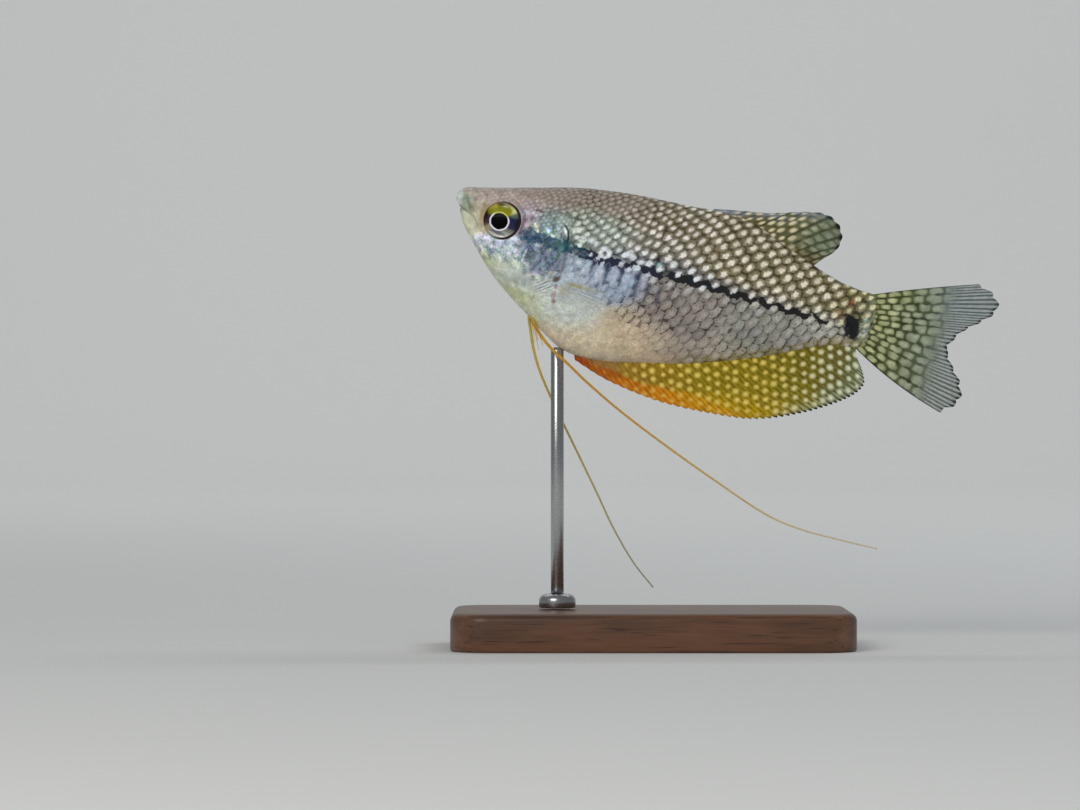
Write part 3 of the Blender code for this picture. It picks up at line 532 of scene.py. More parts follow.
# %% Shares of each mark
def dab_share(aft, level, dab):
    """How much of a dab of paint lies on each place."""
    _, middle_aft, middle_up, half_long, half_high, lean, strength = dab
    along = (aft - middle_aft - lean * (level - middle_up)) / half_long
    far = np.hypot(along, (level - middle_up) / half_high)
    edge = 0.20 * ripple(aft, level, 1.3, middle_aft) + 0.16 * ripple(aft, level, 0.6, middle_up)
    return strength * smooth(1.25, 0.70, far + edge)


def stripe_share(aft, level):
    """How dark the flank stripe is at each place."""
    middle = np.interp(aft, STRIPE[:, 0], STRIPE[:, 1])
    half = np.interp(aft, STRIPE[:, 0], STRIPE[:, 2])
    saw = np.abs((aft / (2 * SCALE_STEP)) % 1 * 2 - 1) - 0.5
    middle = middle + saw * 0.55 * smooth(26, 34, aft) + 0.12 * ripple(aft, 0 * level, 5.2)
    ends = smooth(12.4, 13.6, aft) * smooth(74.5, 70.5, aft)
    behind = smooth(24, 30, aft)
    torn = (0.45 * ripple(aft, level, 1.3, 4.0) + 0.35 * ripple(aft, level, 0.6, 1.0)) * smooth(28, 22, aft)
    drawn = 0.45 * ripple(aft, 0.5 * level, 1.3, 2.0) + 0.25 * ripple(aft, 0.5 * level, 0.7, 1.0)
    torn = torn + drawn * behind
    half = half * (1 + 0.35 * smooth(24, 21, aft))
    drip = smooth(0.2, 0.9, ripple(aft, 0.3 * level, 1.8, 5.0)) * smooth(-0.2, -0.6, level - middle) * behind
    return ends * smooth(1.25, 0.8, np.abs(level - middle) / (half * (1 + 0.7 * drip)) + torn)


def spot_share(aft, level):
    """The black spot on the root of the tail, squarish and ragged."""
    x, z = aft - SPOT[0], level - SPOT[1]
    x = x + 0.22 * z
    star = 1.04 + 0.22 * ripple(x, z, 1.5, 2.0) + 0.20 * ripple(x, z, 0.7, 1.0)
    far = (np.abs(x / 0.80) ** 2.6 + np.abs(z / 1.14) ** 2.6) ** (1 / 2.6)
    return smooth(1.15, 0.92, far / (SPOT[2] * star))


print("the spot covers its middle by", spot_share(np.array(SPOT[0]), np.array(SPOT[1])).round(2))


# %% All the paint
HEAD_LIFT = 0.16  # the coat is thinner on the head, so it is sprayed lighter


def patch(aft, level, place, reach, power=2):
    """A soft-edged patch: 1 in its middle, and 0 well beyond its reach along and up."""
    return np.exp(-(((aft - place[0]) / reach[0]) ** power) - ((level - place[1]) / reach[1]) ** power)


def paint(aft, level):
    """Colours of field, net, pearl and stripe at each place, and how strongly pearl and stripe show."""
    field, net = spray(FIELD, aft, level), spray(NET, aft, level)
    pearl, gleam = spray(PEARL, aft, level), spray(GLEAM, aft, level)[..., 0]
    lines = spray(LINES, aft, level)[..., 0]
    cloud = 1 + 0.07 * ripple(aft, level, 5.0, 1.0) + 0.06 * ripple(aft, level, 1.7, 3.0)
    cloud = (cloud * (1 + HEAD_LIFT * smooth(24.0, 18.0, aft)))[..., None]
    field, net = field * cloud, net * cloud
    dark = stripe_share(aft, level)
    for dab in DABS:
        share = dab_share(aft, level, dab)
        field = blend(field, linear(dab[0]), share[..., None])
        net = blend(net, linear(dab[0]) * 0.7, share[..., None])
        gleam, dark = gleam * (1 - 0.8 * share), dark * (1 - share)
    for colour, half_wide, strength, line in STROKES:
        far = near(aft, level, line) / half_wide + 0.3 * ripple(aft, level, 0.9)
        share = (strength * smooth(1.6, 0.5, far))[..., None]
        field, net = blend(field, linear(colour), share), blend(net, linear(colour), share)
    # slanting dashes before the side fin, small scales on cover and brow, and streaks along the breast
    dashes = np.sin((level - 0.75 * aft) * 9.5 + 1.6 * ripple(aft, level, 1.6, 2.0))
    dashes = 0.55 * dashes * patch(aft, level, (20.3, -8.3), (1.7, 1.5))
    speck = dots(aft, level, 0.85, 0.3, 0.32, 2.0) - 0.35
    scaled = 0.75 * patch(aft, level, (18.2, 4.0), (4.4, 2.6), 4)
    scaled = scaled + 0.34 * patch(aft, level, (9.0, 6.2), (8.0, 2.2), 4)
    streak = 0.16 * ripple(aft * 0.35, level, 0.8, 5.0) * patch(aft, level, (24.0, -11.5), (6.0, 3.0))
    field = field * (1 + dashes + scaled * speck + streak)[..., None]
    # an olive sheath of small scales along the root of the anal fin
    sheath = smooth(44, 52, aft) * smooth(2.6, 0.6, level - profile(aft)[1] + 0.5 * ripple(aft, level, 1.5))
    field = lay(field, "8d7f3c", 0.75 * sheath)
    net = lay(net, "4b4415", 0.75 * sheath)
    gleam = blend(gleam, 0.55, sheath)
    black = spot_share(aft, level)[..., None]
    field, net = blend(field, linear("08090d"), black), blend(net, linear("050608"), black)
    return {
        "field": field, "net": net, "pearl": pearl, "gleam": gleam * (1 - black[..., 0]),
        "band": spray(STRIPE_COLOUR, aft, level), "dark": dark, "line": lines,
    }


sample = paint(np.array([60.0]), np.array([-0.2]))
print("stripe at 60 mm aft:", sample["dark"].round(2), "spot:", spot_share(76.8, 0.2).round(2))

# %% [markdown]
# ## Relief of the head
# The head has no feathers or fur to hide behind, so its form matters most:
# lips that part at the mouth, two nostrils a side, a rim round the eye, the
# edge of the gill cover, and the fine grooves of cheek and throat. All are
# heights added to the loft along its own normal, in millimetres. Sculpting by
# hand would do as well, but a formula can be read and changed.

# %% Relief
MOUTH = ((-1.6, 2.3), (0.95, 1.65), (3.3, 1.12), (4.4, 0.5))
UPPER_LIP = ((3.7, 1.45), (2.6, 1.75), (1.6, 2.1), (0.9, 2.6), (0.35, 3.3), (0.0, 4.1))
LOWER_LIP = ((3.7, 0.4), (2.8, 0.55), (2.0, 0.75), (1.45, 1.0))
LIP_FOLD = ((1.3, 4.9), (1.7, 3.4), (2.7, 2.2), (4.0, 1.6))
CHEEK_EDGE = ((13.4, 3.0), (14.6, 0.6), (15.1, -2.2), (14.9, -4.9), (13.4, -6.9), (10.6, -7.3), (8.2, -6.0))
THROAT = ((9.4, -7.3), (11.4, -8.3), (15.0, -9.0), (18.2, -9.8), (21.2, -11.2))
NOSTRILS = ((3.6, 3.7, 0.26), (5.3, 3.2, 0.32))
COVER_TOP, COVER_LOW = 4.4, -9.4


def hollow(distance, depth, width):
    """A rounded groove; taken away, it is a ridge instead."""
    return -depth * np.exp(-((distance / width) ** 2))


def relief(aft, level, station):
    """Height of the skin over the plain loft."""
    high = hollow(near(aft, level, CHEEK_EDGE), 0.10, 0.20)
    high = high - hollow(near(aft, level, [(x + 0.5, z) for x, z in CHEEK_EDGE]), 0.06, 0.35)
    high = high + hollow(near(aft, level, THROAT), 0.07, 0.30)
    high = high + hollow(near(aft, level, LIP_FOLD), 0.09, 0.18)
    tall = smooth(COVER_TOP, COVER_TOP - 3.0, level) * smooth(COVER_LOW - 0.8, COVER_LOW + 1.5, level)
    on_cover = smooth(13.5, 21.4, station) * smooth(22.20, 22.08, station)
    behind = smooth(22.08, 22.20, station) * smooth(24.2, 22.3, station)
    return high + tall * (0.20 * on_cover - 0.12 * behind)


def mouth_relief(aft, level):
    """Lips, the slit between them and the nostrils."""
    lips = -hollow(near(aft, level, UPPER_LIP), 0.12, 0.42) - hollow(near(aft, level, LOWER_LIP), 0.09, 0.40)
    slit = hollow(near(aft, level, MOUTH), 0.30, 0.13) * smooth(4.4, 3.2, aft)
    pits = 0.0
    for middle_aft, middle_up, radius in NOSTRILS:
        far = np.hypot(aft - middle_aft, level - middle_up) / radius
        pits = pits - 0.30 * smooth(1.1, 0.5, far) - hollow(far - 1.35, 0.07, 0.35)
    return lips * smooth(4.6, 3.2, aft) + slit + pits


print("the cover's edge stands", round(float(relief(21.9, -2.0, 22.0)), 2), "mm proud")


# %% [markdown]
# ## The skin
# One closed skin takes the place of head, gill covers, trunk and tail stalk,
# so that no seam shows. Its rings are packed close over the head, where the
# relief needs them, and wide apart under the scales. It lies a quarter of a
# millimetre inside the solids where scales will cover it. The eye sinks into
# a round well with a raised rim, square to the cheek.

# %% Eye sockets
EYE_AFT, EYE_LEVEL, EYE_SUNK = 9.4, 1.3, 0.55
WELL_DEEP, RIM_HIGH = 2.3, 0.17  # the well that holds the eye, and the rim round it
COAT = 0.25  # how deep the skin lies under the scales' outer face


def flank_spot(aft, level, side):
    return np.array([aft, side * float(half_width(aft, level)), level])


def eye_frame(side):
    """The middle of an eye and its axes: aft, up and outward."""
    span = 1.5
    run = flank_spot(EYE_AFT + span, EYE_LEVEL, side) - flank_spot(EYE_AFT - span, EYE_LEVEL, side)
    rise = flank_spot(EYE_AFT, EYE_LEVEL + span, side) - flank_spot(EYE_AFT, EYE_LEVEL - span, side)
    outward = np.cross(run, rise) * -side
    outward = outward / np.linalg.norm(outward)
    up = np.array([0.0, 0.0, 1.0])
    up = up - outward * up.dot(outward)
    up = up / np.linalg.norm(up)
    aft = np.cross(up, outward) * -side
    return flank_spot(EYE_AFT, EYE_LEVEL, side) - outward * EYE_SUNK, aft, up, outward


print("left eye looks along", eye_frame(-1)[3].round(2))


# %% Skin grid
def scaly(aft, level, station):
    """Where scales grow: the trunk and the nape. The cover's own are sunk in its skin."""
    trunk = smooth(22.25, 22.9, station)
    nape = smooth(10.5, 15.5, aft) * smooth(4.4, 6.6, level)
    return np.maximum(trunk, nape)


def body_ring(station, turn, grow):
    """A point of the loft at a station and a turn round it, leaning with the gill cover."""
    aft = station + 0.0 * turn
    level = 0.0
    for _ in range(8):
        back, belly, _, widest, _, _ = profile(aft)
        reach = np.where(np.cos(turn) >= 0, back - widest, widest - belly) + grow
        level = widest + reach * np.cos(turn)
        aft = station - gill_bulge(station, level)
    across = np.sign(np.round(np.sin(turn), 9)) * half_width(aft, level, grow)
    return np.stack([aft, across, level], -1)


def grid_normals(points, around=True):
    """Outward normals of a grid whose rows run aft and whose columns run down the right side."""
    aft_way = np.gradient(points, axis=0)
    if around:
        down = np.roll(points, -1, 1) - np.roll(points, 1, 1)
    else:
        down = np.gradient(points, axis=1)
    normal = np.cross(aft_way, down)
    return normal / np.maximum(np.linalg.norm(normal, axis=-1, keepdims=True), 1e-9)


AROUND = 320
close_rings, wide_rings = np.arange(1.2, 23.4, 0.13), np.arange(23.4, SKIN_END, 0.6)
stations = np.concatenate([np.arange(0, 1.2, 0.08), close_rings, wide_rings, [SKIN_END]])
ring_station, ring_turn = np.meshgrid(stations, full_turn(AROUND), indexing="ij")
plain = body_ring(ring_station, ring_turn, 0.0)
covered = scaly(plain[..., 0], plain[..., 2], ring_station)
skin_points = body_ring(ring_station, ring_turn, -0.04 - (COAT - 0.04) * covered)
normals = grid_normals(skin_points)
aft, level = skin_points[..., 0], skin_points[..., 2]
height = relief(aft, level, ring_station) + mouth_relief(aft, level)
skin_points = skin_points + normals * height[..., None]
for side in (-1, 1):
    middle, eye_aft, eye_up, eye_out = eye_frame(side)
    away = skin_points - middle
    radius = np.hypot(away @ eye_aft, away @ eye_up)
    here = (np.sign(plain[..., 1]) == side) & (radius < 6)
    push = -WELL_DEEP * smooth(3.50, 3.22, radius) - hollow(radius - 3.72, RIM_HIGH, 0.24)
    push = push + hollow(radius - 4.45, 0.07, 0.30)
    skin_points = skin_points + (push * here)[..., None] * eye_out
print("skin grid:", skin_points.shape[:2])

# %% [markdown]
# The snout's first ring is closed with a few shrinking rings that bow
# forward. The finish is fish skin under a thin clear slime: brown pigment,
# patches of silver under a millimetre across where the skin is silvery, and
# a wet gloss. The patches are the highs and lows of a noise pattern.

# %% Skin finish
SILVER = (
    (0.95, 9.0, -3.6, 3.5, 1.7), (1.25, 18.0, -2.0, 3.2, 4.0), (0.55, 19.0, -9.5, 3.0, 1.6),
    (0.38, 8.0, 6.0, 6.0, 1.6), (0.35, 3.0, 3.0, 1.6, 1.8), (0.50, 17.0, 4.0, 3.0, 1.4),
    (0.12, 12.0, -8.5, 5.0, 1.6), (0.05, 3.5, -0.8, 1.6, 1.6), (0.10, 17.0, -12.5, 4.0, 2.0),
    (0.10, 50.0, 0.0, 20.0, 20.0),
)


def mottle(tree, place, size_mm):
    """Ragged light and dark patches of a size: their two shares, and their noise in colour."""
    size = {"Scale": 1 / (size_mm * MM), "Detail": 2.5, "Roughness": 0.55}
    cloud = add(tree, "TexNoise", {"Vector": place, **size})
    light = add(tree, "MapRange", {0: cloud[0], 1: 0.51, 2: 0.65}, **EASED)[0]
    dark = add(tree, "MapRange", {0: cloud[0], 1: 0.49, 2: 0.36}, **EASED)[0]
    return light, dark, cloud["Color"]


def make_skin_material():
    """Living fish skin, cast and tinted: matt pigment and silver below a wet, clear slime."""
    made, tree, shader = new_material(
        "fish_skin_silvered", Roughness=0.42, IOR=1.38, Coat_Weight=0.2, Coat_Roughness=0.14, Coat_IOR=1.36
    )
    place = add(tree, "TexCoord")["Object"]
    field, silver = [add(tree, "Attribute", attribute_name=name) for name in ("field", "silver")]
    field, silver = field["Color"], silver[2]
    light, dark, hues = mottle(tree, place, 1.1)
    speck, pit, _ = mottle(tree, place, 0.38)
    speck = add(tree, "Math", {0: speck, 1: 0.5}, operation="MULTIPLY")[0]
    pit = add(tree, "Math", {0: pit, 1: 0.4}, operation="MULTIPLY")[0]
    light = add(tree, "Math", {0: light, 1: speck}, operation="MAXIMUM")[0]
    dark = add(tree, "Math", {0: dark, 1: pit}, operation="MAXIMUM")[0]
    light = add(tree, "Math", {0: light, 1: silver}, operation="MULTIPLY")[0]
    dark = add(tree, "Math", {0: dark, 1: silver}, operation="MULTIPLY")[0]
    hues = add(tree, "VectorMath", {0: hues, 1: (0.8,) * 3, 2: (0.6,) * 3}, operation="MULTIPLY_ADD")[0]
    tinted = add(tree, "MixRGB", {0: silver, 1: field, 2: hues}, blend_type="MULTIPLY")[0]
    bright = add(tree, "MixRGB", {0: 1.0, 1: tinted, 2: (1.50, 1.54, 1.60, 1)}, blend_type="MULTIPLY")[0]
    dim = add(tree, "MixRGB", {0: 1.0, 1: tinted, 2: (0.40, 0.43, 0.50, 1)}, blend_type="MULTIPLY")[0]
    mixed = add(tree, "MixRGB", {0: dark, 1: tinted, 2: dim})[0]
    mixed = add(tree, "MixRGB", {0: light, 1: mixed, 2: bright})[0]
    fine = add(tree, "TexNoise", {"Vector": place, "Scale": 1 / (0.28 * MM), "Detail": 3.0})[0]
    blotch = {"Scale": 1 / (1.6 * MM), "Detail": 4.0, "Roughness": 0.6}
    cloud = add(tree, "TexNoise", {"Vector": place, **blotch})[0]
    lift = add(tree, "MapRange", {0: cloud, 1: 0.3, 2: 0.7, 3: 0.80, 4: 1.20})[0]
    grain = add(tree, "MapRange", {0: fine, 1: 0.3, 2: 0.7, 3: 0.90, 4: 1.10})[0]
    value = add(tree, "Math", {0: lift, 1: grain}, operation="MULTIPLY")[0]
    final = add(tree, "VectorMath", {0: mixed, "Scale": value}, operation="SCALE")[0]
    tree.links.new(final, shader.inputs["Base Color"])
    rough = add(tree, "MapRange", {0: light, 3: 0.44, 4: 0.26})[0]
    tree.links.new(rough, shader.inputs["Roughness"])
    bump = add(tree, "Bump", {"Height": fine, "Distance": 0.04 * MM, "Strength": 0.5})[0]
    tree.links.new(bump, shader.inputs["Normal"])
    return made


skin_material = make_skin_material()
print(skin_material.name, len(skin_material.node_tree.nodes), "nodes")


# %% The skin's mesh
def close_skin():
    """The skin as one piece, with both of its ends closed."""
    snout = skin_points[0]
    middle = np.array([snout[:, 0].mean(), 0.0, snout[:, 2].mean()])
    caps = []
    for share in (0.0, 0.25, 0.5, 0.72, 0.88):
        bow = np.array([-0.22 * (1 - share**2), 0.0, 0.0])
        caps.append(middle + (snout - middle) * max(share, 0.02) + bow)
    grid = np.concatenate([np.array(caps), skin_points])
    rows = len(grid)
    quad_i, quad_j = grid_corners(rows - 1, AROUND)
    faces = quad_i * AROUND + quad_j % AROUND
    bake = np.stack([quad_i / (rows - 1), quad_j / AROUND], -1) * 0.98 + 0.01
    front = np.arange(AROUND)[None, :]
    rear = (rows - 1) * AROUND + np.arange(AROUND)[None, ::-1]
    ends = [np.full((1, AROUND, 2), 0.005), np.full((1, AROUND, 2), 0.995)]
    colours = paint(grid[..., 0], grid[..., 2])
    under_plates = np.concatenate([0 * covered[:5], covered]) * np.clip(1.4 * colours["line"], 0, 1)
    under_plates = under_plates * smooth(79.4, 78.0, grid[..., 0])
    field = blend(colours["field"], colours["net"], under_plates[..., None])
    field = blend(field, colours["band"], colours["dark"][..., None])
    silver = spray(SILVER, grid[..., 0], grid[..., 2])[..., 0]
    made = make_piece(
        "fish_skin", placed(grid), [faces, front, rear], skin_material,
        {"field": field.reshape(-1, 3), "silver": silver.ravel()}, {"OFBake": [bake, *ends]},
    )
    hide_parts("head", "gill_cover_left", "gill_cover_right", "trunk", "tail_stalk")


close_skin()

# %% [markdown]
# ## Scales
# Each scale is a thin curved plate rooted in the skin, and its rear edge
# lies over the next one. Blender could scatter copies of one plate, but the
# seats should be even, as on the fish, and each plate has to bend with the
# body. So the seats are laid out in the body's own skin: how far aft, and how
# far round from the stripe. Rows are 2.4 mm apart on the rear flank, about
# 1 mm on the nape, and columns lean aft towards the back.

# %% A map of the flank
TABLE_STEP, TABLE_ROWS = 0.25, 161
table_aft = np.arange(4.0, SKIN_END + TABLE_STEP, TABLE_STEP)


def flank_table():
    """The right flank as a grid: aft, and from belly (-1) through the stripe (0) to back (1)."""
    turn = np.linspace(0, np.pi, 700)
    shares = np.linspace(-1, 1, TABLE_ROWS)
    points, ups, downs = [], [], []
    for station in table_aft:
        ring_aft = np.full(turn.shape, station)
        back, belly, _, widest, _, _ = profile(ring_aft)
        reach = np.where(np.cos(turn) >= 0, back - widest, widest - belly) - COAT
        up = widest + reach * np.cos(turn)
        out = half_width(ring_aft, up, -COAT)
        length = np.concatenate([[0.0], np.cumsum(np.hypot(np.diff(up), np.diff(out)))])
        at_stripe = np.interp(0.0, -up, length)
        where = at_stripe - np.where(shares > 0, shares * at_stripe, shares * (length[-1] - at_stripe))
        across, level = np.interp(where, length, out), np.interp(where, length, up)
        points.append(np.stack([0 * where + station, across, level], -1))
        ups.append(at_stripe)
        downs.append(length[-1] - at_stripe)
    points = np.array(points)
    normal = -grid_normals(points, around=False)
    normal[:, [0, -1], 1] = 0.0
    return points, normal / np.linalg.norm(normal, axis=-1, keepdims=True), np.array(ups), np.array(downs)


flank_points, flank_normals, girth_up, girth_down = flank_table()
print(f"girth at 30 mm aft: {np.interp(30, table_aft, 2 * (girth_up + girth_down)):.0f} mm")


def on_flank(aft, girth, side):
    """The place and the normal on the skin at a distance aft and round from the stripe."""
    up, down = np.interp(aft, table_aft, girth_up), np.interp(aft, table_aft, girth_down)
    share = np.where(girth > 0, girth / up, girth / down)
    crossed = np.where(np.abs(share) > 1, -1.0, 1.0)
    share = np.where(crossed < 0, np.sign(share) * (2 - np.abs(share)), share)
    row = np.clip((aft - table_aft[0]) / TABLE_STEP, 0, len(table_aft) - 1.001)
    column = np.clip((share + 1) / 2 * (TABLE_ROWS - 1), 0, TABLE_ROWS - 1.001)
    i, j = row.astype(int), column.astype(int)
    s, t = (row - i)[..., None], (column - j)[..., None]
    found = []
    for table in (flank_points, flank_normals):
        first = blend(table[i, j], table[i, j + 1], t)
        found.append(blend(first, blend(table[i + 1, j], table[i + 1, j + 1], t), s))
    for one in found:
        one[..., 1] *= side * crossed
    return found


# %% Seats of the scales
LEAN = 0.38  # how far a column leans aft for each millimetre up
COLUMN = 0.72  # columns are this much of the row pitch apart
ROW = 2.42  # the row pitch on the rear flank, in millimetres
EVEN = 2.38  # scales at least this large keep the rear's even pattern
FIRST_SCALE, LAST_SCALE = 12.0, 79.4  # how far aft the scales begin and end


def pitch(aft, level):
    """The distance between rows of scales at a place, in millimetres."""
    top = np.interp(aft, (14, 22, 30, 38, 46, 54), (0.92, 1.10, 1.36, 1.75, 2.15, ROW))
    middle = np.interp(aft, (16, 22, 27, 34, 40), (1.20, 1.60, 1.90, 2.15, ROW))
    low = np.interp(aft, (18, 24, 32, 40, 46), (1.10, 1.25, 1.45, 1.95, ROW))
    size = blend(blend(middle, top, smooth(4.5, 9.0, level)), low, smooth(-7.5, -11.0, level))
    return size * np.interp(aft, (72, 80), (1.0, 0.74))


def fitting(aft, girth):
    """The places of a list where a scale can grow, each with its pitch, from the tail forward."""
    inside = (aft > FIRST_SCALE) & (aft < LAST_SCALE)
    aft, girth = aft[inside], girth[inside]
    level = on_flank(aft, girth, 1)[0][..., 2]
    own, station = pitch(aft, level), station_of(aft, level)
    up, down = np.interp(aft, table_aft, girth_up), np.interp(aft, table_aft, girth_down)
    grows = (girth < up - 0.3 * own) & (girth > 0.3 * own - down)
    grows &= (scaly(aft, level, station) > 0.5) & (np.abs(station - 22.1) > 0.3 * own)
    return np.stack([aft, girth, own], -1)[grows]


def seat_gaps(seats, others):
    """Vectors between seats where their pattern is even in all directions, and their lengths in pitches."""
    girth = seats[:, None, 1] - others[None, :, 1]
    along = (seats[:, None, 0] - others[None, :, 0] - LEAN * girth) * STAGGER / COLUMN
    away = np.hypot(along, girth) + 1e-6
    return along / away, girth / away, away * 2 / (seats[:, None, 2] + others[None, :, 2])


def fill_seats(seats, least):
    """Adds a seat wherever there is room for one, working forward from the tail."""
    step = np.arange(0, 400) * 0.3
    aft, girth = np.meshgrid(step + 8, step - 40, indexing="ij")
    spare = fitting((aft + LEAN * girth)[::-1].ravel(), girth[::-1].ravel())
    free = seat_gaps(spare, seats)[2].min(1) > least
    added = []
    while free.any():
        added.append(spare[np.argmax(free)])
        free &= seat_gaps(spare, added[-1][None])[2][:, 0] > least
    return np.concatenate([seats, added]) if added else seats


def ease_seats(seats, times):
    """Pushes crowded seats apart, and leaves the even pattern of the rear alone."""
    for _ in range(times):
        along, girth, away = seat_gaps(seats, seats)
        force = np.clip(1.04 - away, 0.0, 0.5) * (away > 1e-3)
        free = 0.10 * seats[:, 2] * (seats[:, 2] < EVEN) * (seats[:, 0] < 72)
        push = (force * girth).sum(1) * free
        seats[:, 1] += push
        seats[:, 0] += (force * along).sum(1) * free * COLUMN / STAGGER + LEAN * push
        seats[:, 2] = pitch(seats[:, 0], on_flank(seats[:, 0], seats[:, 1], 1)[0][..., 2])
    return seats


def lay_seats(side):
    """Seats of one flank: the rear's even pattern, then smaller scales forward of it."""
    k, m = np.meshgrid(np.arange(0, 50), np.arange(-12, 12), indexing="ij")
    girth = ((m + 0.5 * (k % 2)) * ROW + 0.62).ravel()
    aft = (k * ROW * COLUMN).ravel() + 8 + LEAN * girth + (0.9 if side > 0 else 0.0)
    rear = fitting(aft, girth)
    seats = rear[(rear[:, 2] > EVEN) | (rear[:, 0] > 60)]
    for least in (0.86, 0.80, 0.80):
        seats = ease_seats(fill_seats(seats, least), 25)
    return seats


flank_seats = {side: lay_seats(side) for side in (-1, 1)}
print("scales on the left and right flank:", [len(s) for s in flank_seats.values()])

# %% [markdown]
# A plate is a grid of rings on an outline that is round behind and longer in
# front, where its neighbours hide it. It rises towards its rear edge, domes a
# little, and drops at the sides. Its pearl is silver crystal in the middle of
# the bare part; the rim is dark with pigment. Painted shade darkens each plate
# towards its rim and where its front runs under the scale ahead. One map holds
# each plate's own shape for the pearl, and the map for baking holds it at its
# place on the flank, shrunk so that no two overlap.

# %% One plate
PLATE_REAR, PLATE_FRONT, PLATE_HALF = 0.53, 0.86, 0.60  # in row pitches
PLATE_LIFT, PLATE_DOME, PLATE_DROP, PLATE_THICK = 0.11, 0.05, 0.10, 0.045  # in millimetres


def plate_outline(around, rings):
    """A plate's points in row pitches, with each point's share of the way to the rim."""
    turn = full_turn(around)
    long = np.where(np.cos(turn) > 0, PLATE_REAR, PLATE_FRONT)
    x = long * np.sign(np.cos(turn)) * np.abs(np.cos(turn)) ** 0.80
    y = PLATE_HALF * np.sign(np.sin(turn)) * np.abs(np.sin(turn)) ** 0.75
    shares = np.append(np.linspace(0, 0.95, rings)[1:] ** 0.85, 1.0)
    local = [[(0.0, 0.0, 0.0)]] + [np.stack([x * s, y * s, 0 * x + s], -1) for s in shares]
    local.append(np.stack([x, y, 0 * x + 1.0], -1))
    return np.concatenate(local)


def plate_faces(around, rings):
    """A plate's faces: the fan in its middle, its rings, its edge, and its underside."""
    k = np.arange(around)
    fan = np.stack([0 * k, 1 + k, 1 + (k + 1) % around], -1)
    quads = []
    for ring in range(rings):
        a, b = 1 + ring * around, 1 + (ring + 1) * around
        quads.append(np.stack([a + k, b + k, b + (k + 1) % around, a + (k + 1) % around], -1))
    under = (1 + rings * around + k[::-1])[None, :]
    return fan, np.concatenate(quads), under


def seat_room(seats):
    """The side of the square of the baking map that each plate may fill, in leaning axes."""
    d_girth = seats[:, None, 1] - seats[None, :, 1]
    d_along = (seats[:, None, 0] - seats[None, :, 0] - LEAN * d_girth) / COLUMN
    away = np.maximum(np.abs(d_along), np.abs(d_girth)) + 99 * np.eye(len(seats))
    return np.minimum(away.min(1), seats[:, 2])


print("a plate has", len(plate_outline(24, 5)), "points")


# %% Plates on the flank
def plate_bareness(aft, level, station):
    """How far a scale stands free: less below the stripe, on the belly and at the edge of the coat."""
    bare = 1 - 0.40 * smooth(-0.4, -2.0, level)
    bare = bare * (1 - 0.80 * smooth(-6.0, -10.0, level) * smooth(50, 38, aft))
    return bare * blend(0.5, 1.0, smooth(0.5, 1.0, scaly(aft, level, station)))


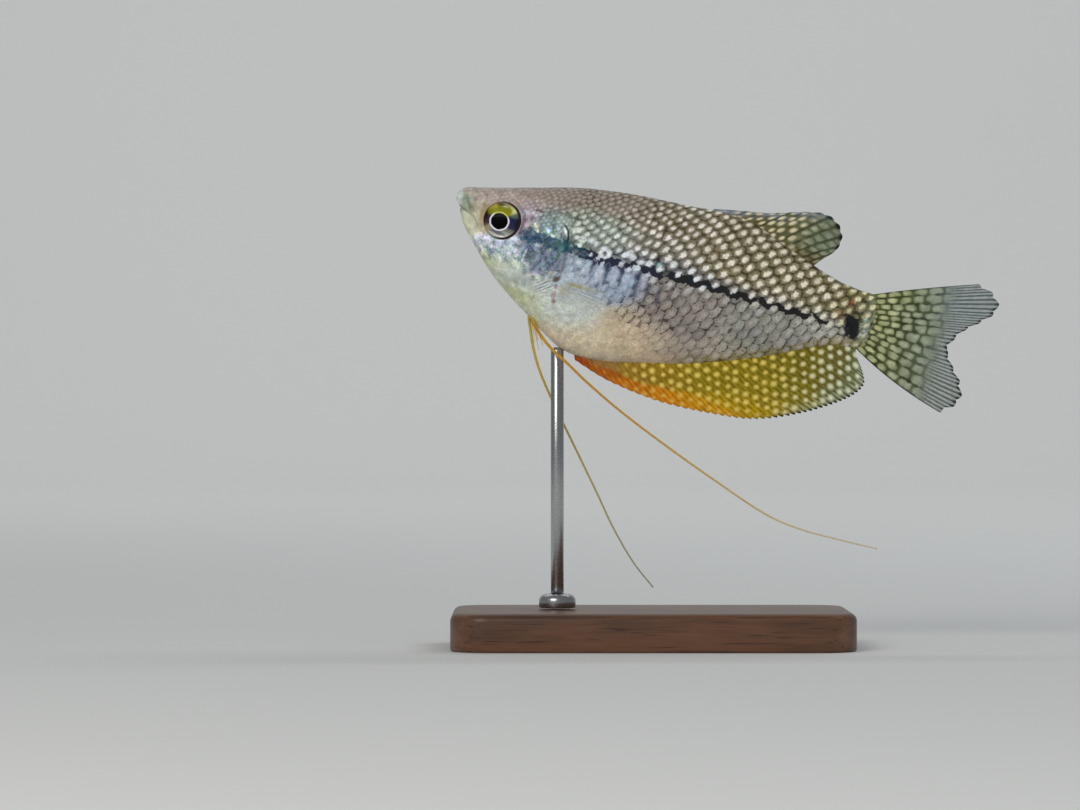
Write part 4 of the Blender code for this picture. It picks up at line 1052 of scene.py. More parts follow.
def make_plates(name, seats, side, around, rings, material):
    """Plates for some of the seats of a flank, as one piece."""
    local = plate_outline(around, rings)
    count, points = len(seats), len(local)
    draw = np.random.default_rng(7 + count + side)
    size = seats[:, 2:3] * (1 + 0.04 * draw.standard_normal((count, 1)))
    x, y, share = local[None, :, 0], local[None, :, 1], local[None, :, 2]
    seat_aft, seat_level = seats[:, 0], on_flank(seats[:, 0], seats[:, 1], side)[0][..., 2]
    seat_station = station_of(seat_aft, seat_level)
    # below the stripe the plates are taller and squarer, and each one's outline is a little uneven
    tall = (smooth(0.2, -1.4, seat_level) * smooth(38, 46, seat_aft))[:, None]
    x = blend(x, x * (0.90 + 0.10 * (y / PLATE_HALF) ** 2), tall)
    y = blend(y, y * 1.16, tall)
    turn, bend = np.arctan2(y, x), draw.uniform(0, 2 * np.pi, (3, count, 1))
    uneven = 1 + 0.05 * np.sin(2 * turn + bend[0]) + 0.055 * np.sin(3 * turn + bend[1])
    uneven = uneven + 0.04 * np.sin(5 * turn + bend[2])
    x, y = x * uneven, y * uneven
    base, normal = on_flank(seats[:, 0:1] + size * (x + LEAN * y), seats[:, 1:2] + size * y, side)
    # each plate rises to its rear edge, domes a little and drops at its sides
    under = relief(seat_aft, seat_level, seat_station)[:, None]
    tilt = 1 + 0.10 * draw.standard_normal((count, 1))
    rise = PLATE_LIFT * tilt * (x + PLATE_FRONT) / (PLATE_FRONT + PLATE_REAR)
    shape = rise - PLATE_DROP * (y / PLATE_HALF) ** 2 + PLATE_DOME * (1 - share**2)
    bare = plate_bareness(seat_aft, seat_level, seat_station)[:, None]
    height = under + blend(0.03, -0.02, bare) + (size / ROW) ** 0.7 * shape * bare
    height[:, -around:] -= PLATE_THICK
    spots = base + height[..., None] * normal
    # the paint of its place, and a pearl, a line and a tone of its own
    colours = paint(base[..., 0], base[..., 2])
    seat_paint = paint(seat_aft, seat_level)
    gleam = seat_paint["gleam"] * (1 + 0.22 * draw.standard_normal(count))
    gleam = np.where(seat_paint["dark"] > 0.6, np.maximum(gleam, 0.8) * (draw.random(count) < 0.7), gleam)
    line = seat_paint["line"] * draw.uniform(0.65, 1.15, count)
    hue = 1 + 0.07 * draw.standard_normal((count, 1, 1)) + 0.02 * draw.standard_normal((count, 1, 3))
    cell = np.stack([x, y * blend(1.0, 0.86, tall)], -1) + draw.normal(0, 0.05, (count, 1, 2))
    above = smooth(-0.8, 0.4, seat_level - np.interp(seat_aft, STRIPE[:, 0], STRIPE[:, 1]))
    start = np.arange(count)[:, None, None] * points
    fan, quads, bottom = plate_faces(around, rings)
    groups = [(start + group).reshape(-1, group.shape[1]) for group in (fan, quads, bottom)]
    # the map for baking: each plate keeps to its own room
    low, high = seats[:, :2].min(0) - 2, seats[:, :2].max(0) + 2
    flat_x, flat_y = x / uneven, y / uneven / (2 * PLATE_HALF)
    flat_x = (flat_x - (PLATE_REAR - PLATE_FRONT) / 2) * COLUMN / (PLATE_REAR + PLATE_FRONT) + LEAN * flat_y
    patch = np.stack([flat_x, flat_y], -1) * seat_room(seats)[:, None, None]
    bake = (seats[:, None, :2] + 0.92 * patch - low) / (high - low)
    bake, cell = bake.reshape(-1, 2), cell.reshape(-1, 2)
    corners = [bake[groups[0]], bake[groups[1]], np.repeat(bake[groups[2][:, :1]], around, 1)]
    made = make_piece(
        name, placed(spots), groups, material,
        {
            "field": (colours["field"] * hue).reshape(-1, 3),
            "net": colours["net"].reshape(-1, 3),
            "pearl": colours["pearl"].reshape(-1, 3),
            "band": colours["band"].reshape(-1, 3),
            "gleam": np.repeat(np.clip(gleam, 0, 1.15), points),
            "sides": np.repeat(blend(0.30, 0.90, above), points),
            "line": np.repeat(line, points),
            "dark": colours["dark"].ravel(),
            "rim": np.repeat(share, count, 0).ravel(),
        },
        {"OFBake": corners, "Cell": [cell[group] for group in groups]},
    )


# %% Scale finish
def make_scale_material():
    """Clear bony plates over pigment and silver crystal, with painted shade that rounds each plate, and a wet
    gloss.
    """
    made, tree, shader = new_material(
        "fish_scale_pearled", Roughness=0.38, IOR=1.40, Coat_Weight=0.2, Coat_Roughness=0.12, Coat_IOR=1.36
    )
    place = add(tree, "TexCoord")["Object"]
    tones, amounts = ("field", "net", "pearl", "band"), ("gleam", "rim", "sides", "line", "dark")
    field, net, pearl, band = [add(tree, "Attribute", attribute_name=name)["Color"] for name in tones]
    gleam, rim, sides, line, dark = [add(tree, "Attribute", attribute_name=name)[2] for name in amounts]
    cell = add(tree, "UVMap", uv_map="Cell")[0]
    warp = add(tree, "TexNoise", {"Vector": place, "Scale": 1 / (0.6 * MM), "Detail": 3.0})["Color"]
    warp = add(tree, "VectorMath", {0: warp, 1: (0.5, 0.5, 0.5)}, operation="SUBTRACT")[0]
    cell = add(tree, "VectorMath", {0: warp, 1: (0.42, 0.42, 0.0), 2: cell}, operation="MULTIPLY_ADD")[0]
    bare = add(tree, "VectorMath", {0: cell, 1: (0.12, 0.0, 0.0)}, operation="SUBTRACT")[0]
    bare = add(tree, "VectorMath", {0: bare, 1: (1.0, 0.88, 0.0)}, operation="MULTIPLY")[0]
    far = add(tree, "VectorMath", {0: bare}, operation="LENGTH")["Value"]
    core = add(tree, "MapRange", {0: far, 1: 0.27, 2: 0.13}, **EASED)[0]
    halo = add(tree, "MapRange", {0: far, 1: 0.44, 2: 0.18}, **EASED)[0]
    fine = add(tree, "TexNoise", {"Vector": place, "Scale": 1 / (0.28 * MM), "Detail": 3.0})[0]
    blotch = {"Scale": 1 / (0.8 * MM), "Detail": 4.0, "Roughness": 0.6}
    cloud = add(tree, "TexNoise", {"Vector": place, **blotch})[0]
    ragged = add(tree, "Math", {0: cloud, 1: 1.5, 2: rim}, operation="MULTIPLY_ADD")[0]
    edge = add(tree, "MapRange", {0: ragged, 1: 1.46, 2: 1.66}, **EASED)[0]
    along = add(tree, "SeparateXYZ", {0: cell})[0]
    rear = add(tree, "MapRange", {0: along, 1: 0.12, 2: 0.36}, **EASED)[0]
    rear = add(tree, "Math", {0: rear, 1: sides}, operation="MAXIMUM")[0]
    edge = add(tree, "Math", {0: edge, 1: rear}, operation="MULTIPLY")[0]
    # painted shade, in the net's colour, where the plate's front runs under the scale ahead
    tucked_shade = add(tree, "MapRange", {0: along, 1: -0.30, 2: -0.48}, **EASED)[0]
    edge = add(tree, "Math", {0: edge, 1: tucked_shade}, operation="MAXIMUM")[0]
    edge = add(tree, "Math", {0: edge, 1: line}, operation="MULTIPLY", use_clamp=True)[0]
    # painted shade: each plate is lighter in its middle and darker towards its rim, so that it looks rounded
    shade = add(tree, "MapRange", {0: far, 1: 0.15, 2: 0.60, 3: 1.10, 4: 0.80})[0]
    shaded = add(tree, "VectorMath", {0: field, "Scale": shade}, operation="SCALE")[0]
    base = add(tree, "MixRGB", {0: line, 1: field, 2: shaded})[0]
    base = add(tree, "MixRGB", {0: edge, 1: base, 2: net})[0]
    rim_tone = add(tree, "MixRGB", {0: 0.5, 1: field, 2: pearl})[0]
    halo = add(tree, "Math", {0: halo, 1: gleam}, operation="MULTIPLY")[0]
    halo = add(tree, "Math", {0: halo, 1: 0.5}, operation="MULTIPLY")[0]
    core = add(tree, "Math", {0: core, 1: gleam}, operation="MULTIPLY", use_clamp=True)[0]
    base = add(tree, "MixRGB", {0: halo, 1: base, 2: rim_tone})[0]
    pepper = add(tree, "MapRange", {0: fine, 1: 0.57, 2: 0.66, 4: 0.62})[0]
    few = add(tree, "MapRange", {0: line, 3: 0.35, 4: 1.0})[0]
    pepper = add(tree, "Math", {0: pepper, 1: few}, operation="MULTIPLY")[0]
    base = add(tree, "MixRGB", {0: pepper, 1: base, 2: net})[0]
    torn = add(tree, "Math", {0: cloud, 1: 1.1, 2: dark}, operation="MULTIPLY_ADD")[0]
    torn = add(tree, "MapRange", {0: torn, 1: 0.95, 2: 1.15}, **EASED)[0]
    base = add(tree, "MixRGB", {0: torn, 1: base, 2: band})[0]
    base = add(tree, "MixRGB", {0: core, 1: base, 2: pearl})[0]
    lift = add(tree, "MapRange", {0: cloud, 1: 0.3, 2: 0.7, 3: 0.82, 4: 1.18})[0]
    grain = add(tree, "MapRange", {0: fine, 1: 0.3, 2: 0.7, 3: 1.12, 4: 0.88})[0]
    value = add(tree, "Math", {0: lift, 1: grain}, operation="MULTIPLY")[0]
    final = add(tree, "VectorMath", {0: base, "Scale": value}, operation="SCALE")[0]
    tree.links.new(final, shader.inputs["Base Color"])
    rough = add(tree, "MapRange", {0: core, 3: 0.42, 4: 0.22})[0]
    tree.links.new(rough, shader.inputs["Roughness"])
    high = add(tree, "Math", {0: core, 1: 0.6, 2: fine}, operation="MULTIPLY_ADD")[0]
    bump = add(tree, "Bump", {"Height": high, "Distance": 0.05 * MM, "Strength": 0.5})[0]
    tree.links.new(bump, shader.inputs["Normal"])
    return made


scale_material = make_scale_material()
COAT_SPLIT, TINY = 40.0, 1.4  # the coat is parted here, and its smallest scales have fewer points
for side, word in ((-1, "left"), (1, "right")):
    seats = flank_seats[side]
    front = seats[:, 0] < COAT_SPLIT
    tiny = seats[:, 2] < TINY
    make_plates(f"scales_{word}_nape", seats[front & tiny], side, 16, 4, scale_material)
    make_plates(f"scales_{word}_front", seats[front & ~tiny], side, 24, 5, scale_material)
    make_plates(f"scales_{word}_rear", seats[~front], side, 24, 5, scale_material)

# %% [markdown]
# ## Eyes
# A fish's eye has no lid. Its cornea bulges clear of the head over a flat
# iris, here gold above, dark before and behind, and silver below, with a
# bright ring round a nearly black pupil. A cast has a glass eye painted on its
# back. The glass is one closed lens here, its paint seen through the gloss of
# a clear coat, which keeps the look in any viewer. Two highlights are painted
# into the iris too: a near-white one below the pupil, a pale one at its upper right.

# %% Eye shape
EYE_RINGS, EYE_AROUND = 46, 96
LENS, LENS_EDGE, LENS_BULGE, LENS_BACK = 3.46, 0.62, 0.92, 0.55  # its radius, rim, bulge and depth
PUPIL = (-0.27, -0.32)  # the pupil's middle, from the eye's, aft and up
# the iris's own colours, and two painted highlights: the near-white fbf6f0 below the pupil and the pale d6d49a
# at its upper right
EYE_PAINT_AND_HIGHLIGHTS = (
    ("7c7f06", -0.2, 2.0, 0.9, 0.35), ("86860c", 0.9, 1.95, 0.6, 0.35), ("8d8a12", -1.7, 1.5, 0.7, 0.4),
    ("7a7c10", -2.5, 1.0, 0.4, 0.35), ("b8a82c", -1.9, 2.05, 0.35, 0.25),
    ("5d5430", -0.6, 2.85, 0.6, 0.22), ("c3bc90", 0.0, 2.6, 0.3, 0.18), ("a89e6a", 0.9, 3.0, 0.5, 0.25),
    ("d6d49a", 1.9, 2.15, 0.35, 0.45), ("bab782", 1.5, 2.75, 0.4, 0.3),
    ("a49a80", -0.6, 3.35, 1.6, 0.25), ("a39458", -2.4, 2.2, 0.5, 0.5), ("59685c", 2.3, 1.35, 0.4, 0.4),
    ("232644", 2.4, 0.3, 0.5, 0.6), ("14162a", 3.1, 0.0, 0.3, 0.8), ("2c3048", 2.2, -0.8, 0.5, 0.5),
    ("2a1b22", -3.1, 0.2, 0.35, 0.6), ("3a2a28", -2.9, -0.9, 0.35, 0.5),
    ("38304a", -2.4, -0.4, 0.2, 0.6), ("5a5048", -2.7, -1.5, 0.3, 0.3), ("7a7a72", 2.0, -1.6, 0.6, 0.3),
    ("a8a89c", 1.9, -2.3, 0.7, 0.25), ("66696a", -0.4, -2.4, 1.0, 0.20), ("777c80", 0.9, -2.5, 0.5, 0.2),
    ("c4c4b4", -1.3, -2.8, 0.6, 0.25), ("d6d0c8", -0.2, -3.15, 0.9, 0.2),
    ("fbf6f0", 0.9, -2.95, 0.26, 0.17), ("dcd6d2", 1.7, -2.65, 0.3, 0.15),
    ("b0a67c", -2.5, -2.3, 0.5, 0.5), ("8a8470", -2.1, -1.9, 0.3, 0.3),
)


def make_eye(side, word, material):
    """An eye: a lens whose front is the cornea's curve."""
    middle, eye_aft, eye_up, eye_out = eye_frame(side)
    share, turn = np.meshgrid(np.linspace(0.01, 1, EYE_RINGS), full_turn(EYE_AROUND), indexing="ij")
    x, y = LENS * share * np.cos(turn), LENS * share * np.sin(turn)
    front = LENS_EDGE + LENS_BULGE * np.sqrt(1 - (0.985 * share) ** 2)
    disc = middle + x[..., None] * eye_aft + y[..., None] * eye_up
    points = np.concatenate([disc + front[..., None] * eye_out, disc[[-1]] - LENS_BACK * eye_out])
    quad_i, quad_j = grid_corners(EYE_RINGS, EYE_AROUND)
    faces = quad_i * EYE_AROUND + quad_j % EYE_AROUND
    ends = [np.arange(EYE_AROUND)[None, :], EYE_RINGS * EYE_AROUND + np.arange(EYE_AROUND)[None, ::-1]]
    flat = np.stack([x, y], -1)
    flat = np.concatenate([flat, flat[[-1]]]).reshape(-1, 2)
    iris = spray(EYE_PAINT_AND_HIGHLIGHTS, flat[:, 0], flat[:, 1])
    groups = [faces, *ends]
    maps = {"OFBake": [flat[g] / 8.0 + 0.5 for g in groups], "Iris": [flat[g] for g in groups]}
    made = make_piece(f"eyeball_{word}", placed(points), groups, material, {"iris": iris}, maps)
    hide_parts(f"eye_{word}")


def make_eye_material():
    """Clear glass over an iris painted in fine strokes, with two painted highlights in it, polished."""
    made, tree, shader = new_material(
        "glass_eye_painted", Roughness=0.35, IOR=1.40, Specular_IOR_Level=0.05,
        Coat_Weight=0.05, Coat_Roughness=0.02,
    )
    flat = add(tree, "UVMap", uv_map="Iris")[0]
    iris = add(tree, "Attribute", attribute_name="iris")["Color"]
    away = add(tree, "VectorMath", {0: flat, 1: (PUPIL[0], PUPIL[1], 0)}, operation="SUBTRACT")[0]
    # the Iris map is in millimetres, so a scale here is one over a size in millimetres
    wobble = add(tree, "TexNoise", {"Vector": flat, "Scale": 1 / 0.625, "Detail": 2.0})["Color"]
    wobble = add(tree, "VectorMath", {0: wobble, 1: (0.5, 0.5, 0.5)}, operation="SUBTRACT")[0]
    bent = {0: wobble, 1: (0.22, 0.22, 0.0), 2: away}
    away = add(tree, "VectorMath", bent, operation="MULTIPLY_ADD")[0]
    away = add(tree, "VectorMath", {0: away, 1: (0.98, 1.05, 0.0)}, operation="MULTIPLY")[0]
    far = add(tree, "VectorMath", {0: away}, operation="LENGTH")["Value"]
    edge = add(tree, "VectorMath", {0: flat}, operation="LENGTH")["Value"]
    strokes = add(tree, "TexNoise", {"Vector": flat, "Scale": 1 / 0.2, "Detail": 4.0, "Roughness": 0.7})[0]
    tone = add(tree, "MapRange", {0: strokes, 1: 0.3, 2: 0.7, 3: 0.72, 4: 1.28})[0]
    painted = add(tree, "VectorMath", {0: iris, "Scale": tone}, operation="SCALE")[0]
    rim = add(tree, "MapRange", {0: edge, 1: 3.08, 2: 3.30}, **EASED)[0]
    aft = add(tree, "SeparateXYZ", {0: flat})[0]
    aft = add(tree, "MapRange", {0: aft, 1: -2.4, 2: 0.6, 3: 0.20, 4: 1.0})[0]
    rim = add(tree, "Math", {0: rim, 1: aft}, operation="MULTIPLY")[0]
    painted = add(tree, "MixRGB", {0: rim, 1: painted, 2: rgba("33241c")})[0]
    high = add(tree, "SeparateXYZ", {0: away})[1]
    high = add(tree, "MapRange", {0: high, 1: 0.7, 2: 1.5}, **EASED)[0]
    ring = add(tree, "MixRGB", {0: high, 1: rgba("e6e3ee"), 2: rgba("c4c05c")})[0]
    line = add(tree, "MapRange", {0: far, 1: 1.93, 2: 1.82}, **EASED)[0]
    painted = add(tree, "MixRGB", {0: line, 1: painted, 2: ring})[0]
    hole = add(tree, "MapRange", {0: far, 1: 1.64, 2: 1.53}, **EASED)[0]
    painted = add(tree, "MixRGB", {0: hole, 1: painted, 2: rgba("020206")})[0]
    tree.links.new(painted, shader.inputs["Base Color"])
    return made


eye_material = make_eye_material()
for side, word in ((-1, "left"), (1, "right")):
    make_eye(side, word, eye_material)

# %% [markdown]
# ## Fins
# A fin is a skin stretched over rays that fan from its root. Every fin here
# is one closed sheet: a grid across its rays and out along them, with the
# rays raised on both faces, thin at the edge. The outlines are the solids'
# own. A solidified plane would be quicker, but its rays would be flat.

# %% Fin outlines
def smooth_path(points, per_span=8):
    """A smooth curve read through a line's own points."""
    points = np.array(points, float)
    padded = np.concatenate([points[:1], points, points[-1:]])
    t = np.arange(per_span)[:, None] / per_span
    spans = []
    for p0, p1, p2, p3 in zip(padded, padded[1:], padded[2:], padded[3:]):
        bend = (2 * p0 - 5 * p1 + 4 * p2 - p3) * t * t + (3 * p1 - p0 - 3 * p2 + p3) * t**3
        spans.append(0.5 * (2 * p1 + (p2 - p0) * t + bend))
    return np.concatenate([*spans, points[-1:]])


def along(points, share):
    """Points at shares of the length of a drawn line."""
    points = np.array(points, float)
    length = np.concatenate([[0.0], np.cumsum(np.linalg.norm(np.diff(points, axis=0), axis=1))])
    goal = np.clip(share, 0, 1) * length[-1]
    return np.stack([np.interp(goal, length, points[:, k]) for k in range(points.shape[1])], -1)


quarter_arc = smooth_path([(math.cos(a), math.sin(a)) for a in np.linspace(0, np.pi / 2, 5)])
print("a curve through 5 points of a circle keeps its radius:", np.hypot(*quarter_arc.T).round(3)[::8])


# %% Fin maker
def tapered(root, edge):
    """A fin's thickness, from its root to its edge."""
    return lambda v: blend(root, edge, smooth(0.0, 1.0, v))


def fin_sheet(
    name, rays, per_ray, rows, root, tip, thickness, ridge, material, colour, notch, bow=0.0, place=None
):
    """A closed fin, painted on its points; s runs across its rays and v out along them."""
    across = (rays - 1) * per_ray + 1
    s, v = np.meshgrid(np.linspace(0, 1, across), np.linspace(0, 1, rows + 1), indexing="ij")
    start, end = root(s[:, 0]), tip(s[:, 0])
    step = s * (rays - 1)
    off_ray = np.abs(step - np.round(step)) * 2
    # the edge is notched between the rays, and the rays may bow in the fin's plane
    end = end - (end - start) * (notch * off_ray[:, :1] ** 1.5)
    bend = np.stack([end[:, 1] - start[:, 1], start[:, 0] - end[:, 0]], -1)
    bowed = (bend * (bow(s[:, 0])[:, None] if callable(bow) else bow))[:, None] * (4 * v * (1 - v))[..., None]
    flat = start[:, None] + (end - start)[:, None] * v[..., None] + bowed
    on_ray = smooth(0.55, 0.0, off_ray)
    half = thickness(v) / 2 + ridge * on_ray * (1 - 0.75 * v) / 2
    faces_out = []
    for face in (-1, 1):
        if place:
            faces_out.append(place(flat, face * half))
        else:
            faces_out.append(np.stack([flat[..., 0], face * half, flat[..., 1]], -1))
    points = np.concatenate([faces_out[0].reshape(-1, 3), faces_out[1].reshape(-1, 3)])
    # quads of both faces, then of the edge and the three other rims
    columns, other = rows + 1, across * (rows + 1)
    quad_i, quad_j = grid_corners(across - 1, rows)
    left = quad_i * columns + quad_j
    right = left[:, ::-1] + other
    i, j = np.arange(across - 1), np.arange(rows)
    end_on, side_on = np.stack([i, i + 1], -1) * columns, np.stack([j, j + 1], -1)
    rims = [
        np.concatenate([end_on + rows, (end_on + rows + other)[:, ::-1]], -1),
        np.concatenate([end_on, (end_on + other)[:, ::-1]], -1)[:, ::-1],
        np.concatenate([side_on, (side_on + other)[:, ::-1]], -1),
        np.concatenate([side_on, (side_on + other)[:, ::-1]], -1)[:, ::-1] + (across - 1) * columns,
    ]
    groups = [left, right, *rims]
    painted = colour(flat[..., 0], flat[..., 1], s, v, off_ray)
    values = {}
    for key, value in painted.items():
        values[key] = np.concatenate([value.reshape(across * columns, -1)] * 2).squeeze()
    corner_uv = np.stack([quad_i / (across - 1), quad_j / rows], -1)
    halves = [corner_uv * (0.48, 0.96) + (0.01, 0.02), corner_uv[:, ::-1] * (0.48, 0.96) + (0.51, 0.02)]
    bake = [*halves, *[np.full((len(g), 4, 2), 0.5) for g in rims]]
    return make_piece(name, placed(points), groups, material, values, {"OFBake": bake})


print("a fin of 1.1 mm at its root and 0.28 at its edge is", tapered(1.1, 0.28)(0.5).round(2), "half way out")

# %% [markdown]
# The fins' paint is laid on their points, which are closer than the finest
# mark. Pearls are dots in staggered rows, each a little off its place; rays
# are darker or lighter lines; and where the skin between the rays is clear,
# the veil lets light through. The real fin is skin on bone; a cast is resin.

# %% Fin finish
def make_fin_material(name, bump_mm):
    """Tinted clear resin over cast rays: satin, thin, and clear where its veil is low."""
    made, tree, shader = new_material(name, Roughness=0.45, IOR=1.40, Specular_IOR_Level=0.25)
    place = add(tree, "TexCoord")["Object"]
    field = add(tree, "Attribute", attribute_name="field")["Color"]
    veil = add(tree, "Attribute", attribute_name="veil")[2]
    fine = add(tree, "TexNoise", {"Vector": place, "Scale": 1 / (0.4 * MM), "Detail": 3.0})[0]
    grain = add(tree, "MapRange", {0: fine, 1: 0.3, 2: 0.7, 3: 0.88, 4: 1.12})[0]
    final = add(tree, "VectorMath", {0: field, "Scale": grain}, operation="SCALE")[0]
    tree.links.new(final, shader.inputs["Base Color"])
    tree.links.new(veil, shader.inputs["Alpha"])
    bump = add(tree, "Bump", {"Height": fine, "Distance": bump_mm * MM, "Strength": 0.4})[0]
    tree.links.new(bump, shader.inputs["Normal"])
    return made


clear_fin_material = make_fin_material("fin_resin_clear", 0.04)
amber_fin_material = make_fin_material("fin_resin_amber", 0.04)


# %% Back fin
DORSAL_ROOT = ((46.6, 13.4), (54.5, 12.4), (60.5, 10.2), (66.3, 8.0))
DORSAL_EDGE = (
    (46.4, 14.3), (50.6, 15.2), (56.6, 16.4), (62.4, 18.3), (66.4, 19.1),
    (69.2, 18.1), (70.7, 15.8), (70.3, 13.2), (68.4, 11.0),
)
DORSAL_RAYS = 14
DORSAL_ZONES = (
    ("707882", 50.0, 15.0, 3.0, 0.5), ("78828e", 56.6, 16.2, 3.4, 0.5), ("727e8c", 62.0, 18.0, 3.0, 0.5),
    ("6d7a88", 66.4, 19.0, 3.0, 0.5), ("6f6a44", 50.0, 13.6, 4.0, 0.8), ("5d5a38", 56.0, 13.2, 4.0, 1.6),
    ("5a5e3c", 61.0, 14.6, 3.0, 2.4), ("616a4c", 65.0, 15.6, 2.6, 2.4), ("69745a", 68.5, 15.6, 1.8, 2.6),
    ("5c4f26", 60.0, 10.8, 6.0, 0.9),
)


def ray_cells(reach, off_ray, long, shift):
    """Rounded cells between rays: how close each place is to a cell's middle, and to its edge."""
    end = np.abs((reach / long + shift) % 1 - 0.5) * 2
    far = (end**3 + (1 - off_ray) ** 3) ** (1 / 3)
    return smooth(1.0, 0.35, far), smooth(0.72, 0.98, far)


def paint_dorsal(aft, level, s, v, off_ray):
    """Cream pearls between dark rays, a slate-blue front edge, and black tips behind."""
    field = spray(DORSAL_ZONES, aft, level)
    reach = np.hypot(aft - aft[:, :1], level - level[:, :1])
    gap = np.floor(s * (DORSAL_RAYS - 1) * 0.9999)
    shift = 0.5 * (gap % 2) + 0.14 * ripple(aft, level, 2.6, 5.0)
    wander = 0.26 * ripple(aft, level, 1.6, 3.0)
    middle, net = ray_cells(reach, np.clip(off_ray + wander, 0, 1), 1.75, shift)
    late = smooth(60.0, 66.0, aft - 0.35 * (level - 12.0))
    pearl = dots(s * 22.0, reach * 0.66, 1.50, 0.0, 0.44, 2.0)
    strength = np.clip(0.65 + 0.5 * ripple(aft, level, 1.9, 1.0), 0, 1) * middle**1.4
    shown = blend(0.90 * pearl, 0.75 * strength, late) * smooth(1.0, 0.9, v)
    field = lay(field, lay(linear("e2d6b0"), "a0a890", late), shown)
    field = lay(field, "34331a", 0.38 * net * late)
    ray = smooth(0.34, 0.08, off_ray) * (0.50 + 0.35 * ripple(aft, level, 2.4, 6.0))
    ray = ray * (1 - 0.7 * pearl * (1 - late))
    field = lay(field, "262614", np.clip(ray * smooth(0.0, 0.3, v), 0, 1))
    front = smooth(0.20, 0.05, s + 0.03 * ripple(aft, level, 1.5)) * smooth(0.1, 0.5, v)
    front_tone = lay(linear("7a8494"), "8f98a2", 0.5 + 0.5 * ripple(aft, level, 1.1, 4.0))
    field = lay(field, front_tone, 0.85 * front)
    tip = smooth(0.90, 0.97, v) * smooth(0.70, 0.35, off_ray) * smooth(0.50, 0.66, s)
    field = lay(field, "0f0f0c", tip)
    clear = 0.30 * smooth(0.55, 0.95, v) * middle * smooth(0.5, 0.8, s)
    return {"field": field, "veil": 1 - clear - 0.2 * front * smooth(0.7, 1.0, v)}


def graded(path, crowd=0.5):
    """A fin edge as a function of the ray, its rays crowded towards the front."""
    line = smooth_path(path)
    return lambda s: along(line, s + crowd * s * (1 - s))


dorsal = fin_sheet(
    "fin_back", DORSAL_RAYS, 16, 70, lambda s: along(DORSAL_ROOT, s), graded(DORSAL_EDGE, 0.3),
    tapered(1.1, 0.28), 0.30, clear_fin_material, paint_dorsal, notch=0.03, bow=-0.03,
)
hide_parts("dorsal_fin")

# %% Anal fin
ANAL_EDGE = (
    (29.4, -19.7), (36.4, -21.7), (46.4, -22.8), (56.4, -22.3), (64.6, -21.0),
    (72.8, -17.4), (79.6, -12.8), (82.0, -9.6), (81.2, -7.2), (79.5, -5.0),
)
ANAL_RAYS = 54
ANAL_ZONES = (
    ("98380a", 30.5, -19.8, 1.6, 0.7), ("a85a0c", 34.0, -20.8, 2.5, 0.8),
    ("bb6a04", 40.0, -22.0, 4.0, 0.8), ("d48404", 48.0, -22.2, 4.0, 0.9),
    ("cc9208", 55.0, -21.4, 4.0, 1.0), ("b89606", 62.0, -19.4, 4.0, 1.1),
    ("9c8812", 67.0, -17.6, 3.0, 1.0), ("94703c", 34.0, -18.7, 2.5, 0.6),
    ("9a7a20", 42.0, -18.4, 3.0, 0.9), ("9a8018", 48.0, -17.6, 3.0, 1.2),
    ("988410", 56.0, -16.0, 3.5, 1.6), ("968412", 62.0, -14.4, 3.5, 1.8),
    ("8a7c14", 67.0, -12.0, 3.0, 2.2), ("7c7016", 71.5, -9.8, 3.0, 2.4),
    ("746c2e", 75.6, -8.0, 2.0, 2.6), ("8c7e1a", 71.0, -14.6, 2.6, 1.4),
    ("757b52", 79.4, -9.4, 1.4, 3.0), ("7c8262", 81.0, -9.4, 0.9, 2.4),
    ("74744a", 77.0, -13.0, 1.8, 1.4),
)


def anal_root(s):
    aft = 28.6 + 49.7 * s
    return np.stack([aft, profile(aft)[1] + 1.4], -1)


def paint_anal(aft, level, s, v, off_ray):
    """Amber between fine dark rays, with staggered pearls that whiten towards the tail."""
    field = spray(ANAL_ZONES, aft, level)
    mottle = 0.16 * ripple(aft, level, 2.2, 2.0) + 0.10 * ripple(aft, level, 0.9, 7.0)
    field = field * (1 + mottle)[..., None]
    drop = profile(aft)[1] - level
    shown = smooth(36, 44, aft) * smooth(0.99, 0.95, v) * (1 - 0.6 * smooth(-19.0, -21.0, level))
    pearl = dots(aft, drop, 1.86, 0.30, 0.54, 1.0) * shown
    ringed = np.clip(dots(aft, drop, 1.86, 0.30, 0.92, 1.0) * shown - 1.4 * pearl, 0, 1)
    streak = smooth(0.0, 0.6, ripple(s * 90, v * 7, 1.5, 3.0)) * smooth(0.3, 0.9, off_ray)
    streak = streak * smooth(0.35, 0.6, v) * smooth(64, 50, aft)
    white = smooth(64.0, 78.0, aft)
    light = lay(linear("dcc255"), "d8dcb8", white)
    field = lay(field, "de9a34", 0.6 * streak)
    dark = smooth(0.50, 0.15, off_ray) * (1 - 0.70 * pearl) * (0.8 + 0.35 * ripple(aft, level, 1.8, 4.0))
    depth = np.interp(aft, (30, 40, 52, 62), (0.26, 0.36, 0.46, 0.58)) * smooth(0.0, 0.06, v)
    line = lay(linear("6b3806"), "3d370c", smooth(38, 58, aft))
    field = lay(field, line, np.clip(dark * depth + 0.34 * ringed, 0, 1))
    field = lay(field, light, 0.80 * pearl)
    core = dots(aft, drop, 1.86, 0.30, 0.27, 1.0) * shown
    field = lay(field, lay(linear("f0dc8c"), "e8ead0", white), 0.55 * core)
    edge = smooth(0.80, 0.95, v) * smooth(66, 74, aft)
    field = lay(field, "bfc8ac", 0.55 * edge * smooth(0.3, 0.8, off_ray))
    tip = smooth(0.94, 0.985, v) * smooth(64, 69, aft) * smooth(0.80, 0.40, off_ray)
    field = lay(field, "0e0e0a", tip)
    return {"field": field, "veil": 1 - 0.25 * smooth(0.9, 1.0, v) * smooth(0.3, 0.8, off_ray)}


